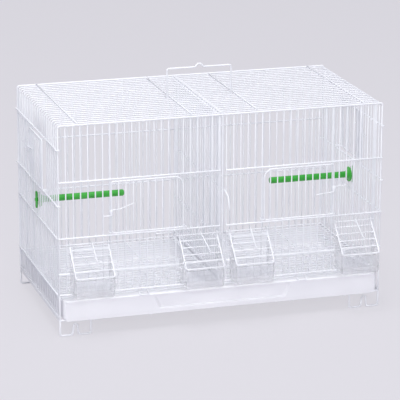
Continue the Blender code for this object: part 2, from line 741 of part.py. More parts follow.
def divider(cage):
    """The wire wall between the cabins, with a hook at the front to pull it out by."""
    y0, y1 = DIVIDER_Y
    z0, z1 = DIVIDER_Z
    frame = [(0, y0, z0), (0, y1, z0), (0, y1, z1), (0, y0, z1)]
    bars = [[(0, side_u(k), z0), (0, side_u(k), z1)] for k in range(1, SIDE_PITCHES - 1)]
    low, high = DIVIDER_RAILS
    x = THIN / 2 + GAP + RAIL / 2
    rails = [[(x, y0 - 1.0, low), (x, y1 + 1.0, low)]]
    hook = [(x, y1 + 1.0, high)]
    hook += [(x, y, high + dz) for y, dz in DIVIDER_HOOK]
    heel = [[(0, y1 - 2.0, z0), (0, DEPTH - 2.4, z0)]]
    mesh = fused(wires([frame], STOUT, closed=True), wires(bars, THIN), wires(rails + [hook], RAIL))
    cage.add("divider", fused(mesh, wires(heel, RAIL)), cage.coat, origin=(0, y0, z0))


def perches(cage):
    flange = THIN / 2 + GAP
    stub = -6.0
    hub = flange + 3.0
    rod = [(stub, 0.0), (stub, PERCH_STEM), (flange, PERCH_STEM), (flange, FLANGE_RADIUS)]
    rod += [(hub, FLANGE_RADIUS), (hub, PERCH_RADIUS + 2.0), (hub + 6.0, PERCH_RADIUS)]
    rod += [(PERCH_LENGTH - 6.0, PERCH_RADIUS), (PERCH_LENGTH - 1.8, 0.7 * PERCH_RADIUS)]
    rod.append((PERCH_LENGTH, 0.0))
    for side, name in ((-1, "left"), (1, "right")):
        turn = (0.0, 0.0, 0.0 if side < 0 else math.pi)
        place = (side * WIDTH / 2, DEPTH / 2, PERCH_Z)
        cage.add(f"perch_{name}", turned(rod, 16), cage.green, place, local=True, turn=turn)
        cage.add(f"perch_nut_{name}", nut_mesh(), cage.green, place, local=True, turn=turn)


def nut_mesh():
    """An oblong wing nut outside the end panel, bored for the perch's stem."""
    near = -(STOUT / 2 + STOUT_OUT + GAP)
    far = near - NUT_THICK
    rounded = arc((0.0, NUT_REACH - NUT_HALF), NUT_HALF, 0, 180, 6)
    outline = rounded + [(-y, -z) for y, z in rounded]
    hole = PERCH_STEM + 0.4
    bore = turned([(near + 1.0, 0.0), (near + 1.0, hole), (far - 1.0, hole), (far - 1.0, 0.0)], 12)
    return cut(prism(outline, "X", far, near), bore)


def handle(cage):
    """A wire bail whose feet curl round one lengthwise wire of the top. It stands up at rest."""
    offset = -HANDLE_RING
    curl = arc((0.0, 0.0), HANDLE_RING, 180, HANDLE_CURL, 7)
    half = [(-HANDLE_HALF, y, z) for y, z in reversed(curl)]
    centre = (-HANDLE_HALF + HANDLE_CORNER, HANDLE_RISE - HANDLE_CORNER)
    half += [(x, offset, z) for x, z in arc(centre, HANDLE_CORNER, 180, 90, 3)]
    half += [(-x, offset, HANDLE_RISE + rise) for x, rise in HANDLE_GRIP]
    path = half + [(-x, y, z) for x, y, z in reversed(half)]
    axis = (0.0, side_u(HANDLE_BAR), TOP_Z)
    cage.add("handle", wires([path], HANDLE_WIRE, 6), cage.coat, axis, local=True)


def main():
    clear_scene()
    cage = Cage()
    front_panel(cage)
    back_panel(cage)
    side_panel(cage, "left", on_left)
    side_panel(cage, "right", on_right)
    top_panel(cage)
    base(cage)
    feet(cage)
    doors(cage)
    feeders(cage)
    tray(cage)
    grate(cage, "floor_grate_left", -1)
    grate(cage, "floor_grate_right", 1)
    divider(cage)
    perches(cage)
    handle(cage)


main()
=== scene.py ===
# %% [markdown]
# # A double breeder cage, wire by wire
#
# The cage is almost nothing but white coated wire: straight bars, thicker rails, and a few bent pieces. The
# CAD frame holds square wires that collide well. This lesson lays round, softly ended wires in their places,
# adds the weld beads, moulds the cups, perches and tray, and lights the whole on a pale sweep.

# %% The frame
import math

import bpy
import numpy as np
from mathutils import Matrix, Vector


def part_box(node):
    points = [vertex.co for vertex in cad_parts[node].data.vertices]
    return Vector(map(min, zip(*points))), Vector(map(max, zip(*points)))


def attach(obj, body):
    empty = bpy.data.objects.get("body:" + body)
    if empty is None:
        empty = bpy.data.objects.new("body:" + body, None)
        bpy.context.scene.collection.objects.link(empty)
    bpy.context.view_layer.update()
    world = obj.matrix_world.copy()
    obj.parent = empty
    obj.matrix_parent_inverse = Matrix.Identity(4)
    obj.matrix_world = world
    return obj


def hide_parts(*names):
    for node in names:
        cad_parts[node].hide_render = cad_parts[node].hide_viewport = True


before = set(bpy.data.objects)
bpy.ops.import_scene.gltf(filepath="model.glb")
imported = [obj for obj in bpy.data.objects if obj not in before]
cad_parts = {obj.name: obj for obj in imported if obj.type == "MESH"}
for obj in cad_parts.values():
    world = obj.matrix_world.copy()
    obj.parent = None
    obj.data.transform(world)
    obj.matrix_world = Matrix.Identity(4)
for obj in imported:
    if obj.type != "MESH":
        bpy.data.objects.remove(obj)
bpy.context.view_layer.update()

# %% [markdown]
# ## Where things are
#
# Sizes are in millimetres: X to the right, Y back from the plane of the front bars, Z up from the floor. A
# maker sets out such a panel by its wire spacing, so most places below are a bar's number times the spacing.
# The front panel's node tells how far that plane stands from the origin.

# %% Driving sizes
MM = 0.001
WIDTH = 600.0
HALF = WIDTH / 2
DEPTH = 310.0
HEIGHT = 354.0
BASE_Z = 30.0
FRONT_PITCHES = 45
SIDE_PITCHES = 23

BAR = 2.3
RAIL = 3.0
EDGE = 3.4
POST = 3.0
RAIL_REACH = 4.2
RAIL_OUT = BAR / 2 + RAIL / 2 - 0.1

TOP_Z = BASE_Z + HEIGHT
RAIL_B = BASE_Z + 0.714 * HEIGHT
RAIL_C = BASE_Z + 0.426 * HEIGHT
SILL = BASE_Z + 0.242 * HEIGHT
RAIL_D = BASE_Z + 0.132 * HEIGHT
RAIL_1 = BASE_Z + 0.880 * HEIGHT
RAIL_2 = BASE_Z + 0.595 * HEIGHT
BACK_RAIL = BASE_Z + 0.706 * HEIGHT
PANEL_FOOT = BASE_Z + 4.0

DOOR_BARS = ((7, 17), (28, 38))
FEEDER_BARS = ((2, 6), (17, 21), (24, 28), (39, 43))
SLOT_BARS = (22, 23)
LEDGE_BARS = (20, 25)
SIDE_DOOR_BARS = (6, 14)

FRONT_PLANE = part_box("front_panel")[0][1] + RAIL_REACH * MM
print("front bars stand at y =", round(FRONT_PLANE / MM, 2), "mm")


def front_u(bar):
    """The X of a front bar: its share of the width, from the middle."""
    return (np.asarray(bar) / FRONT_PITCHES - 0.5) * WIDTH


def side_u(bar):
    """The Y of a side bar: its share of the depth, from the front."""
    return np.asarray(bar) / SIDE_PITCHES * DEPTH


FEEDER_X = [float(front_u(first) + front_u(last)) / 2 for first, last in FEEDER_BARS]

# %% [markdown]
# Each panel has a plane of its own. On it, u runs along the panel, v up, and w outward from the bars. One
# small function a panel turns (u, v, w) into cage coordinates, so every wire is laid out flat and the
# function stands it up. The right end panel is the left one turned half round.

# %% The planes of the panels
def stacked(*parts):
    """Arrays or numbers as points, with the last axis holding their coordinates."""
    return np.stack(np.broadcast_arrays(*(np.asarray(part, float) for part in parts)), axis=-1)


def on_front(u, v, w):
    return stacked(u, -w, v)


def on_back(u, v, w):
    return stacked(u, DEPTH + w, v)


def on_left(u, v, w):
    return stacked(-HALF - w, u, v)


def on_right(u, v, w):
    return stacked(HALF + w, DEPTH - np.asarray(u), v)


def on_top(u, v, w):
    return stacked(u, v, TOP_Z + w)


def upright(face, u, low, high, w=0.0):
    """Straight wires up a panel, one for each u."""
    u = np.atleast_1d(np.asarray(u, float))
    return face(u[:, None], [low, high], w)


def level(face, start, end, v, w):
    """One straight wire along a panel."""
    return face([start, end], v, w)

# %% [markdown]
# ## A wire as a surface
#
# A round wire is a circle carried along a line, square to it at each point. To find "square" everywhere at
# once, one fixed slanting direction is taken and the part of it along the wire is removed. No wire here runs
# along that slant, so it never fails. A free end gets two smaller rings, because a coated end is rounded.

# %% Forms, wires and beads
SLANT = np.array([1.0, 1.0, -1.0]) / math.sqrt(3.0)
TIP_OUT = np.array([0.42, 0.26])
TIP_SIZE = np.array([0.50, 0.86])
BEAD_SIDES = 8
BEAD_TILTS = (-62.0, -22.0, 22.0, 62.0)


def unit(vectors):
    """Vectors divided by their length."""
    return vectors / np.linalg.norm(vectors, axis=-1, keepdims=True)


def grid_polygons(rows, columns, round_rows=False, round_columns=True):
    """The four-sided faces between neighbouring points of a grid, its points counted row by row."""
    row = np.arange(rows if round_rows else rows - 1)[:, None]
    column = np.arange(columns if round_columns else columns - 1)[None, :]
    beside = (column + 1) % columns
    above = (row + 1) % rows
    low, high = row * columns, above * columns
    corners = (low + column, low + beside, high + beside, high + column)
    return np.stack(np.broadcast_arrays(*corners), axis=-1).reshape(-1, 4)


def end_faces(rows, columns):
    """The two many-sided faces that close a round grid, on its first row, turned over, and on its last."""
    column = np.arange(columns)[None]
    return column[:, ::-1], (rows - 1) * columns + column


def around(steps):
    """The angles of a number of even steps round a circle, in radians."""
    return 2 * math.pi * np.arange(steps) / steps


class Form:
    """Points in cage millimetres and the faces on them, gathered from any number of surfaces."""

    def __init__(self):
        self.points = []
        self.polygons = []
        self.count = 0

    def add(self, points, *polygons):
        points = np.asarray(points, float).reshape(-1, 3)
        self.points.append(points)
        self.polygons.extend(faces + self.count for faces in polygons)
        self.count += len(points)
        return self

    def skin(self, points):
        """Adds a closed surface from rows of points: each row is a ring, the first and last get a face."""
        rows, columns = points.shape[:2]
        return self.add(points, grid_polygons(rows, columns), *end_faces(rows, columns))

    def turned(self, matrix, origin):
        """The form turned by a 3 x 3 matrix about zero, and then set down at an origin."""
        self.points = [points @ matrix.T + origin for points in self.points]
        return self

    def wires(self, paths, diameter, sides=10, closed=False):
        """Adds round wires. A ring is p + r (n cos a + b sin a), n square to the direction t, b = t x n."""
        for path in paths if isinstance(paths, list) else [paths]:
            self.add(*wire_surface(path, diameter, sides, closed))
        return self

    def ring(self, face, first, second, radius, diameter):
        """Adds a rectangle of wire with bent corners. The face makes points of its two coordinates."""
        (a0, a1), (b0, b1) = first, second
        line = bent([(a0, b0), (a1, b0), (a1, b1), (a0, b1)], radius, closed=True)
        return self.wires(face(*line.T), diameter, closed=True)

    def beads(self, centres, size):
        """Adds squashed balls: a point is centre + size (cos t cos a, cos t sin a, sin t)."""
        centres = np.asarray(centres, float).reshape(-1, 3)
        rows = len(BEAD_TILTS)
        tilt = np.radians(np.array(BEAD_TILTS))[:, None]
        turn = around(BEAD_SIDES)
        ball = stacked(np.cos(tilt) * np.cos(turn), np.cos(tilt) * np.sin(turn), np.sin(tilt)) * size
        first = (np.arange(len(centres)) * rows * BEAD_SIDES)[:, None]
        quads = (first[..., None] + grid_polygons(rows, BEAD_SIDES)).reshape(-1, 4)
        low, high = end_faces(rows, BEAD_SIDES)
        return self.add(centres[:, None, None] + ball, quads, first + low, first + high)


def wire_surface(paths, diameter, sides, closed):
    paths = np.asarray(paths, float)
    paths = paths[None] if paths.ndim == 2 else paths
    steps = unit(np.roll(paths, -1, axis=1) - paths)
    if closed:
        tangents = unit(steps + np.roll(steps, 1, axis=1))
        scale = np.ones(paths.shape[1])
    else:
        steps = steps[:, :-1]
        tangents = unit(np.concatenate([steps[:, :1], steps[:, 1:] + steps[:, :-1], steps[:, -1:]], axis=1))
        first, last = tangents[:, :1], tangents[:, -1:]
        out = TIP_OUT[None, :, None] * diameter / 2
        before, after = paths[:, :1] - first * out, paths[:, -1:] + last * out[:, ::-1]
        paths = np.concatenate([before, paths, after], axis=1)
        scale = np.concatenate([TIP_SIZE, np.ones(tangents.shape[1]), TIP_SIZE[::-1]])
        tangents = np.concatenate([first, first, tangents, last, last], axis=1)
    across = unit(SLANT - (tangents @ SLANT)[..., None] * tangents)
    other = np.cross(tangents, across)
    angle = around(sides)
    ring = across[..., None, :] * np.cos(angle)[:, None] + other[..., None, :] * np.sin(angle)[:, None]
    points = paths[..., None, :] + ring * (diameter / 2 * scale)[None, :, None, None]
    count, rows = points.shape[:2]
    first_point = (np.arange(count) * rows * sides)[:, None]
    quads = first_point[..., None] + grid_polygons(rows, sides, round_rows=closed)[None]
    if closed:
        return points, quads.reshape(-1, 4)
    near, far = end_faces(rows, sides)
    return points, quads.reshape(-1, 4), first_point + near, first_point + far


def arc(centre, radius, start, end, steps):
    """Points of an arc in a plane, angles in degrees: centre + radius (cos a, sin a)."""
    angle = np.radians(np.linspace(start, end, steps + 1))
    return np.asarray(centre, float) + radius * stacked(np.cos(angle), np.sin(angle))


def mirrored(half, width=0.0):
    """Half of a line and then its mirror image, from the middle on: x becomes width - x."""
    half = np.asarray(half, float)
    other = half[::-1].copy()
    other[:, 0] = width - other[:, 0]
    return np.concatenate([half, other])


def bent(corners, radius, steps=4, closed=False):
    """A bent wire's line: each corner gives way to an arc that leaves both straights at a tangent."""
    corners = np.asarray(corners, float)
    count = len(corners)
    line = []
    for index in range(count):
        if not closed and index in (0, count - 1):
            line.append(corners[index][None])
            continue
        coming = unit(corners[index] - corners[index - 1])
        going = unit(corners[(index + 1) % count] - corners[index])
        turn = math.acos(float(np.clip(coming @ going, -1.0, 1.0)))
        if turn < 0.02:
            line.append(corners[index][None])
            continue
        inward = unit(going - (going @ coming) * coming)
        begin = corners[index] - coming * radius * math.tan(turn / 2)
        swing = np.linspace(0.0, turn, steps + 1)[:, None]
        line.append(begin + radius * (np.sin(swing) * coming + (1 - np.cos(swing)) * inward))
    return np.concatenate(line)

# %% [markdown]
# ## Finishes as sums
#
# A shader is arithmetic on sockets. The small class below lets that arithmetic be written as it is spoken:
# an expression such as 0.3 + 0.1 * speckle adds the Math nodes itself, and everything else comes from one
# method that takes a node's type, its settings and its sockets.

# %% Shader maths
class Wire:
    """A socket that can be added, multiplied and so on. Each operation leaves a Math node in the tree."""

    def __init__(self, nodes, socket):
        self.nodes = nodes
        self.socket = socket

    def math(self, operation, first, second):
        return self.nodes.node("ShaderNodeMath", {"operation": operation}, {0: first, 1: second})[0]

    def __add__(self, other):
        return self.math("ADD", self, other)

    def __sub__(self, other):
        return self.math("SUBTRACT", self, other)

    def __mul__(self, other):
        return self.math("MULTIPLY", self, other)

    __radd__ = __add__
    __rmul__ = __mul__


class Nodes:
    """A node tree, and the one method that adds nodes to it."""

    def __init__(self, tree):
        self.tree = tree

    def put(self, socket, value):
        if isinstance(value, Wire):
            self.tree.links.new(value.socket, socket)
        else:
            socket.default_value = value

    def node(self, kind, settings=None, sockets=None):
        """Adds a node: its settings first, then its sockets, by name or number. Returns its outputs."""
        node = self.tree.nodes.new(kind)
        for name, value in (settings or {}).items():
            setattr(node, name, value)
        for name, value in (sockets or {}).items():
            self.put(node.inputs[name], value)
        return [Wire(self, output) for output in node.outputs]


class Finish(Nodes):
    """A material whose nodes are added by expressions. Its Principled BSDF is ready from the start."""

    def __init__(self, name, **sockets):
        self.material = bpy.data.materials.new(name)
        self.material.use_nodes = True
        super().__init__(self.material.node_tree)
        self.surface = self.tree.nodes["Principled BSDF"]
        for socket, value in sockets.items():
            self.set(socket.replace("_", " "), value)

    def set(self, name, value):
        self.put(self.surface.inputs[name], value)

    def place(self):
        return self.node("ShaderNodeTexCoord")[3]

    def noise(self, scale, detail=2.0):
        sockets = {"Vector": self.place(), "Scale": scale, "Detail": detail}
        return self.node("ShaderNodeTexNoise", None, sockets)[0]

    def blend(self, share, first, second):
        """A colour between two, by a share from 0 to 1."""
        return self.node("ShaderNodeMix", {"data_type": "RGBA"}, {0: share, 6: first, 7: second})[2]

    def bump(self, height, strength, distance):
        sockets = {"Height": height, "Strength": strength, "Distance": distance}
        self.set("Normal", self.node("ShaderNodeBump", None, sockets)[0])

# %% [markdown]
# Powder coat is fused plastic dust: white, a little glossy, with a very fine orange-peel skin. Its colour
# wanders by a percent or two where the coat is thinner, so a slow noise does the colour and a fine one the
# skin.

# %% Powder-coated wire
COAT_LIGHT = (0.905, 0.915, 0.945, 1.0)
COAT_THIN = (0.835, 0.850, 0.895, 1.0)

finish = Finish("white_powder_coat", IOR=1.5, Coat_Weight=0.25, Coat_Roughness=0.12)
drift = finish.noise(38.0, 3.0)
finish.set("Base Color", finish.blend((drift - 0.35) * 1.6, COAT_LIGHT, COAT_THIN))
finish.set("Roughness", 0.30 + 0.16 * finish.noise(220.0))
finish.bump(finish.noise(1500.0, 1.0), 0.25, 0.0002)
COAT = finish.material

# %% [markdown]
# The tray is moulded white plastic with a fine grain. Scraping it out leaves small scratches, so a stretched
# noise adds a few faint ones.

# %% Moulded tray plastic
TRAY_WHITE = (0.900, 0.898, 0.925, 1.0)
TRAY_DULL = (0.855, 0.853, 0.885, 1.0)

finish = Finish("white_tray_plastic", IOR=1.47)
slow = finish.noise(9.0, 4.0)
sockets = {"Vector": finish.place(), "Scale": (6.0, 90.0, 60.0)}
stretched = finish.node("ShaderNodeMapping", None, sockets)[0]
scratch = finish.node("ShaderNodeTexNoise", None, {"Vector": stretched, "Scale": 6.0, "Detail": 4.0})[0]
finish.set("Base Color", finish.blend((slow - 0.3) * 1.3, TRAY_WHITE, TRAY_DULL))
finish.set("Roughness", 0.34 + 0.12 * scratch)
finish.bump(finish.noise(2600.0, 1.0) + 0.6 * scratch, 0.12, 0.0003)
TRAY_PLASTIC = finish.material

# %% [markdown]
# The cups are injection-moulded clear styrene: very slightly blue, glossy outside, with faint flow lines. A
# transmitting shader on a wall of real thickness draws dark edges against a pale room, so an alpha lets most
# of what is behind pass straight through, and what stays is the faint rim that such cups show.

# %% Clear cup plastic
CLEAR_TINT = (0.985, 0.990, 1.0, 1.0)
CLEAR_ALPHA = 0.4

sockets = {"Transmission_Weight": 1.0, "IOR": 1.45, "Base_Color": CLEAR_TINT, "Alpha": CLEAR_ALPHA}
finish = Finish("clear_cup_plastic", **sockets)
finish.set("Roughness", 0.03 + 0.07 * finish.noise(60.0, 3.0))
finish.bump(finish.noise(45.0, 1.0), 0.06, 0.002)
CLEAR = finish.material

# %% [markdown]
# The perches and their nuts are bright green plastic, rubbed a little paler in places.

# %% Green perch plastic
GREEN_DEEP = (0.018, 0.330, 0.022, 1.0)
GREEN_PALE = (0.060, 0.520, 0.050, 1.0)

finish = Finish("green_perch_plastic", IOR=1.48, Coat_Weight=0.3, Coat_Roughness=0.2)
finish.set("Base Color", finish.blend((finish.noise(55.0, 3.0) - 0.3) * 1.5, GREEN_DEEP, GREEN_PALE))
finish.set("Roughness", 0.32 + 0.14 * finish.noise(300.0))
finish.bump(finish.noise(1200.0, 1.0), 0.15, 0.0002)
GREEN = finish.material

SIDES = ((-1, "left"), (1, "right"))

# %% [markdown]
# ## Handing a form to Blender
#
# A finished form becomes one object at the origin, with its place in its mesh. It rides on its body, stands
# in for its CAD nodes, and gets its material.

# %% From form to piece
PIECES = {}


def shown(name, data):
    """Links a new object with a mesh, light or camera to the scene."""
    obj = bpy.data.objects.new(name, data)
    bpy.context.scene.collection.objects.link(obj)
    return obj


def piece(name, form, material, body, *nodes, sharp=40.0):
    """Makes the mesh from the form's arrays, smooth but for edges sharper than the given degrees."""
    points = np.concatenate(form.points) * MM + np.array([0.0, FRONT_PLANE, 0.0])
    corners = np.concatenate([faces.ravel() for faces in form.polygons])
    sizes = np.concatenate([np.full(len(faces), faces.shape[1]) for faces in form.polygons])
    mesh = bpy.data.meshes.new(name)
    mesh.vertices.add(len(points))
    mesh.vertices.foreach_set("co", points.ravel())
    mesh.loops.add(len(corners))
    mesh.loops.foreach_set("vertex_index", corners.astype(np.int32))
    mesh.polygons.add(len(sizes))
    mesh.polygons.foreach_set("loop_start", (np.cumsum(sizes) - sizes).astype(np.int32))
    mesh.update(calc_edges=True)
    mesh.shade_smooth()
    mesh.set_sharp_from_angle(angle=math.radians(sharp))
    mesh.materials.append(material)
    obj = shown(name, mesh)
    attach(obj, body)
    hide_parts(*nodes)
    PIECES[name] = int((sizes - 2).sum())
    print(name, "of", PIECES[name], "triangles rides on", body)
    return obj


def wire_piece(form, node, body="cage", word="wires"):
    """A coated piece that stands for the node that it is named after."""
    piece(f"{node}_{word}", form, COAT, body, node)

# %% [markdown]
# ## The front panel
#
# Forty-six uprights hang between the top edge and the tray rail. A doorway or a feeder window is simply a
# set of bars that stop at the rail above and start again at the rail below. Two bars beside the middle leave
# the slot that the divider slides through, and every rail stops there too.

# %% Front panel
FLAT_BEAD = (1.7, 1.3, 1.7)
SIDE_BEAD = (1.3, 1.7, 1.7)
EDGE_OUT = 0.2
EDGE_BEND = 3.9
POST_SHORT = 3.0
RAIL_PAST = 1.0
SLOT_PAST = 0.9
HINGE_OUT = 1.9
HINGE_Z = 168.5
HINGE_HALF = 41.0


def bar_runs(bars, openings, low, high):
    """For each bar the stretches of it that are there: all of it, or what the opening leaves."""
    runs = {}
    for bar in bars:
        gap = next((span for first, last, span in openings if first < bar < last), None)
        stretches = [(low, high)] if gap is None else [(low, gap[0]), (gap[1], high)]
        for stretch in stretches:
            runs.setdefault(stretch, []).append(bar)
    return runs


def weld_beads(face, place, bars, heights, w, form, size=FLAT_BEAD):
    """A bead wherever one of the bars crosses a rail."""
    u = place(np.array(bars, float))
    for height in heights:
        form.beads(face(u, height, w), size)


form = Form()
openings = [(first, last, (RAIL_C, RAIL_B)) for first, last in DOOR_BARS]
openings += [(first, last, (SILL, RAIL_C)) for first, last in FEEDER_BARS]
bars = range(1, FRONT_PITCHES)
for (low, high), some in bar_runs(bars, openings, RAIL_D, TOP_Z).items():
    form.wires(upright(on_front, front_u(some), low, high), BAR)
form.wires(upright(on_front, front_u([0, FRONT_PITCHES]), RAIL_D, TOP_Z - POST_SHORT, EDGE_OUT), POST)
top = bent(mirrored([(-HALF, TOP_Z - 4.0), (-HALF, TOP_Z)]), EDGE_BEND)
form.wires(on_front(*top.T, EDGE_OUT), EDGE)
form.wires(level(on_front, -HALF, HALF, RAIL_D, EDGE_OUT), EDGE)
slot = front_u(np.array(SLOT_BARS))
for v in (RAIL_B, RAIL_C, SILL):
    form.wires(level(on_front, -HALF - RAIL_PAST, slot[0] + SLOT_PAST, v, RAIL_OUT), RAIL)
    form.wires(level(on_front, slot[1] - SLOT_PAST, HALF + RAIL_PAST, v, RAIL_OUT), RAIL)
weld_beads(on_front, front_u, range(FRONT_PITCHES + 1), [RAIL_B, RAIL_C, SILL], BAR / 2, form)
weld_beads(on_front, front_u, bars, [TOP_Z - 0.5, RAIL_D + 0.5], 0.4, form)
for centre in FEEDER_X:
    form.wires(level(on_front, centre - HINGE_HALF, centre + HINGE_HALF, HINGE_Z, HINGE_OUT), BAR)
wire_piece(form, "front_panel")

for bar, name in ((0, "left"), (FRONT_PITCHES, "right")):
    form = Form().wires(upright(on_front, front_u(bar), BASE_Z + 1.5, RAIL_D - 1.2, EDGE_OUT), POST)
    wire_piece(form, f"front_corner_post_{name}", word="wire")

# %% [markdown]
# ## Back, ends and top
#
# The back is one plain grille. The end panels carry rails whose ends hook round the corner posts, which is
# how such a cage clips together. The top's long wires bend down at both ends and meet the end bars, so the
# eye reads each pair as one bent wire.

# %% Back panel
LEDGE_PAST = 2.4
BACK_EDGE = 3.8

form = Form()
form.wires(upright(on_back, front_u(range(1, FRONT_PITCHES)), PANEL_FOOT, TOP_Z), BAR)
posts = front_u([0, FRONT_PITCHES])
form.wires(upright(on_back, posts, PANEL_FOOT, TOP_Z - POST_SHORT, EDGE_OUT), POST)
form.ring(lambda u, v: on_back(u, v, EDGE_OUT), (-HALF, HALF), (PANEL_FOOT, TOP_Z), EDGE_BEND, BACK_EDGE)
for v in (BACK_RAIL, RAIL_C):
    form.wires(level(on_back, -HALF - RAIL_PAST, HALF + RAIL_PAST, v, RAIL_OUT), RAIL)
ledge = front_u(np.array(LEDGE_BARS))
form.wires(level(on_back, ledge[0] - LEDGE_PAST, ledge[1] + LEDGE_PAST, RAIL_D, -RAIL_OUT), RAIL)
bars = range(FRONT_PITCHES + 1)
weld_beads(on_back, front_u, bars, [BACK_RAIL, RAIL_C], BAR / 2, form)
weld_beads(on_back, front_u, LEDGE_BARS, [RAIL_D], -BAR / 2, form)
wire_piece(form, "back_panel")

# %% End panels
TOP_BEND = 6.0
SIDE_END = 2.6
LEDGE_Z = 68.4
HOOK_RADIUS = POST / 2 + RAIL / 2 + 0.5
HOOK_END = 215.0
HOOK_RUN = 8.0


def hooked_rail(face, v):
    """A rail whose ends curl round the front and back corner posts: an arc, a straight, an arc."""
    near = arc((0.0, 0.0), HOOK_RADIUS, HOOK_END, 90, 8)
    u, w = mirrored([*near, (HOOK_RUN, RAIL_OUT)], DEPTH).T
    return face(u, v, w)


def end_panel(name, face):
    form = Form()
    top = TOP_Z - TOP_BEND - 0.4
    openings = [(*SIDE_DOOR_BARS, (RAIL_2, RAIL_1))]
    for (low, high), bars in bar_runs(range(1, SIDE_PITCHES), openings, PANEL_FOOT, top).items():
        form.wires(upright(face, side_u(bars), low, high), BAR)
    ends = (SIDE_END, DEPTH - SIDE_END)
    form.wires(level(face, *ends, PANEL_FOOT, EDGE_OUT), EDGE)
    for v in (RAIL_C, RAIL_D):
        form.wires(level(face, *ends, v, RAIL_OUT), RAIL)
    form.wires(level(face, *ends, LEDGE_Z, -RAIL_OUT), RAIL)
    form.wires([hooked_rail(face, v) for v in (RAIL_1, RAIL_2)], RAIL)
    bars = range(1, SIDE_PITCHES)
    weld_beads(face, side_u, bars, [RAIL_1, RAIL_2, RAIL_C, RAIL_D], BAR / 2, form, SIDE_BEAD)
    weld_beads(face, side_u, bars, [LEDGE_Z], -BAR / 2, form, SIDE_BEAD)
    nodes = (f"{name}_side_panel", f"{name}_side_rails")
    piece(f"{name}_side_wires", form, COAT, "cage", *nodes)


end_panel("left", on_left)
end_panel("right", on_right)

# %% Top panel
CROSS_FIXED = 265.0
CROSS_MIDDLE = (-55.5, 66.0)
CROSS_GUIDE = 5.0
CROSS_END = 2.0
STRIP_HALF = 3.0
STRIP_Z = (TOP_Z + 0.9, TOP_Z + 2.1)
STRIP_EDGE = 0.4


def flat_strip(half, heights, near, far):
    """A flat strip along Y: a six-cornered section, its upper edges broken, carried from end to end."""
    low, high = heights
    inner = half - STRIP_EDGE
    brow = high - STRIP_EDGE
    u, w = mirrored([(inner, high), (half, brow), (half, low)]).T
    return stacked(u, np.array([near, far])[:, None], w)


form = Form()
bend = arc((HALF - TOP_BEND, TOP_Z - TOP_BEND), TOP_BEND, 0, 90, 6)
x, z = mirrored([(HALF, TOP_Z - TOP_BEND - 0.8), *bend]).T
y = side_u(np.arange(1, SIDE_PITCHES))[:, None]
form.wires(stacked(-x, y, z), BAR)
near, far = side_u(1) - 1.0, side_u(SIDE_PITCHES - 1) + 1.0
crossing = [(side * CROSS_FIXED, CROSS_END, DEPTH - CROSS_END, RAIL_OUT) for side in (-1, 1)]
crossing += [(x, near, far, RAIL_OUT) for x in CROSS_MIDDLE]
crossing += [(side * CROSS_GUIDE, near, far, -RAIL_OUT) for side in (-1, 1)]
for x, start, end, w in crossing:
    form.wires(on_top(x, [start, end], w), RAIL)
    form.beads(on_top(x, y[:, 0], math.copysign(BAR / 2, w)), (1.7, 1.7, 1.3))
form.skin(flat_strip(STRIP_HALF, STRIP_Z, near, far))
wire_piece(form, "top_panel")

# %% [markdown]
# ## Base and feet
#
# The bottom ring carries five wires that the tray slides on; their ends show below the front. Each foot is
# one wire bent into an M, with its ends welded under the ring. The flat strip between the two floor grates
# is a CAD solid of the right shape, so it only gets the coat.

# %% Base ring
SUPPORT_X = (-235.0, -134.0, 0.0, 134.0, 235.0)
SUPPORT_PAST = 3.0
SUPPORT_Z = BASE_Z - 2.9

form = Form().ring(lambda x, y: stacked(x, y, BASE_Z), (-HALF, HALF), (0, DEPTH), 3.0, EDGE)
for u in SUPPORT_X:
    form.wires(stacked(u, [-SUPPORT_PAST, DEPTH + SUPPORT_PAST], SUPPORT_Z), RAIL - 0.2)
    form.beads(stacked(u, [0.0, DEPTH], BASE_Z - 1.4), (1.9, 1.9, 1.2))
wire_piece(form, "base_frame")
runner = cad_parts["centre_runner"]
for slot in runner.material_slots:
    slot.material = COAT

# %% Feet
FOOT_WIRE = 3.4
FOOT_LENGTH = 56.0
FOOT_NOTCH = ((25.0, 20.5), (FOOT_LENGTH / 2, 23.6))
FOOT_REACH = 22.0


def foot_line():
    """The M in its own plane, from the corner inward: leg, floor, notch, floor, leg."""
    low = FOOT_WIRE / 2
    half = [(0.0, BASE_Z - 1.2), (0.2, low), (FOOT_REACH, low), *FOOT_NOTCH]
    return bent(half + [(FOOT_LENGTH - x, z) for x, z in reversed(half[:-1])], 3.2, 5).T


along, height = foot_line()
for row, y in (("front", 0.0), ("back", DEPTH)):
    for side, name in SIDES:
        form = Form().wires(stacked(side * (HALF - along), y, height), FOOT_WIRE, 12)
        ends = np.array([HALF, HALF - FOOT_LENGTH]) * side
        form.beads(stacked(ends, y, BASE_Z - 1.8), (2.1, 2.1, 1.4))
        wire_piece(form, f"foot_{row}_{name}", word="wire")

# %% [markdown]
# ## Doors and their latches
#
# A door is a bent frame with bars, and small loops at its foot that run on two of the panel's bars. It lifts
# straight up. The latch is a wire with an arm each way, welded to a sleeve that turns on the door's edge
# wire; the other doors' latches are the same piece, turned.

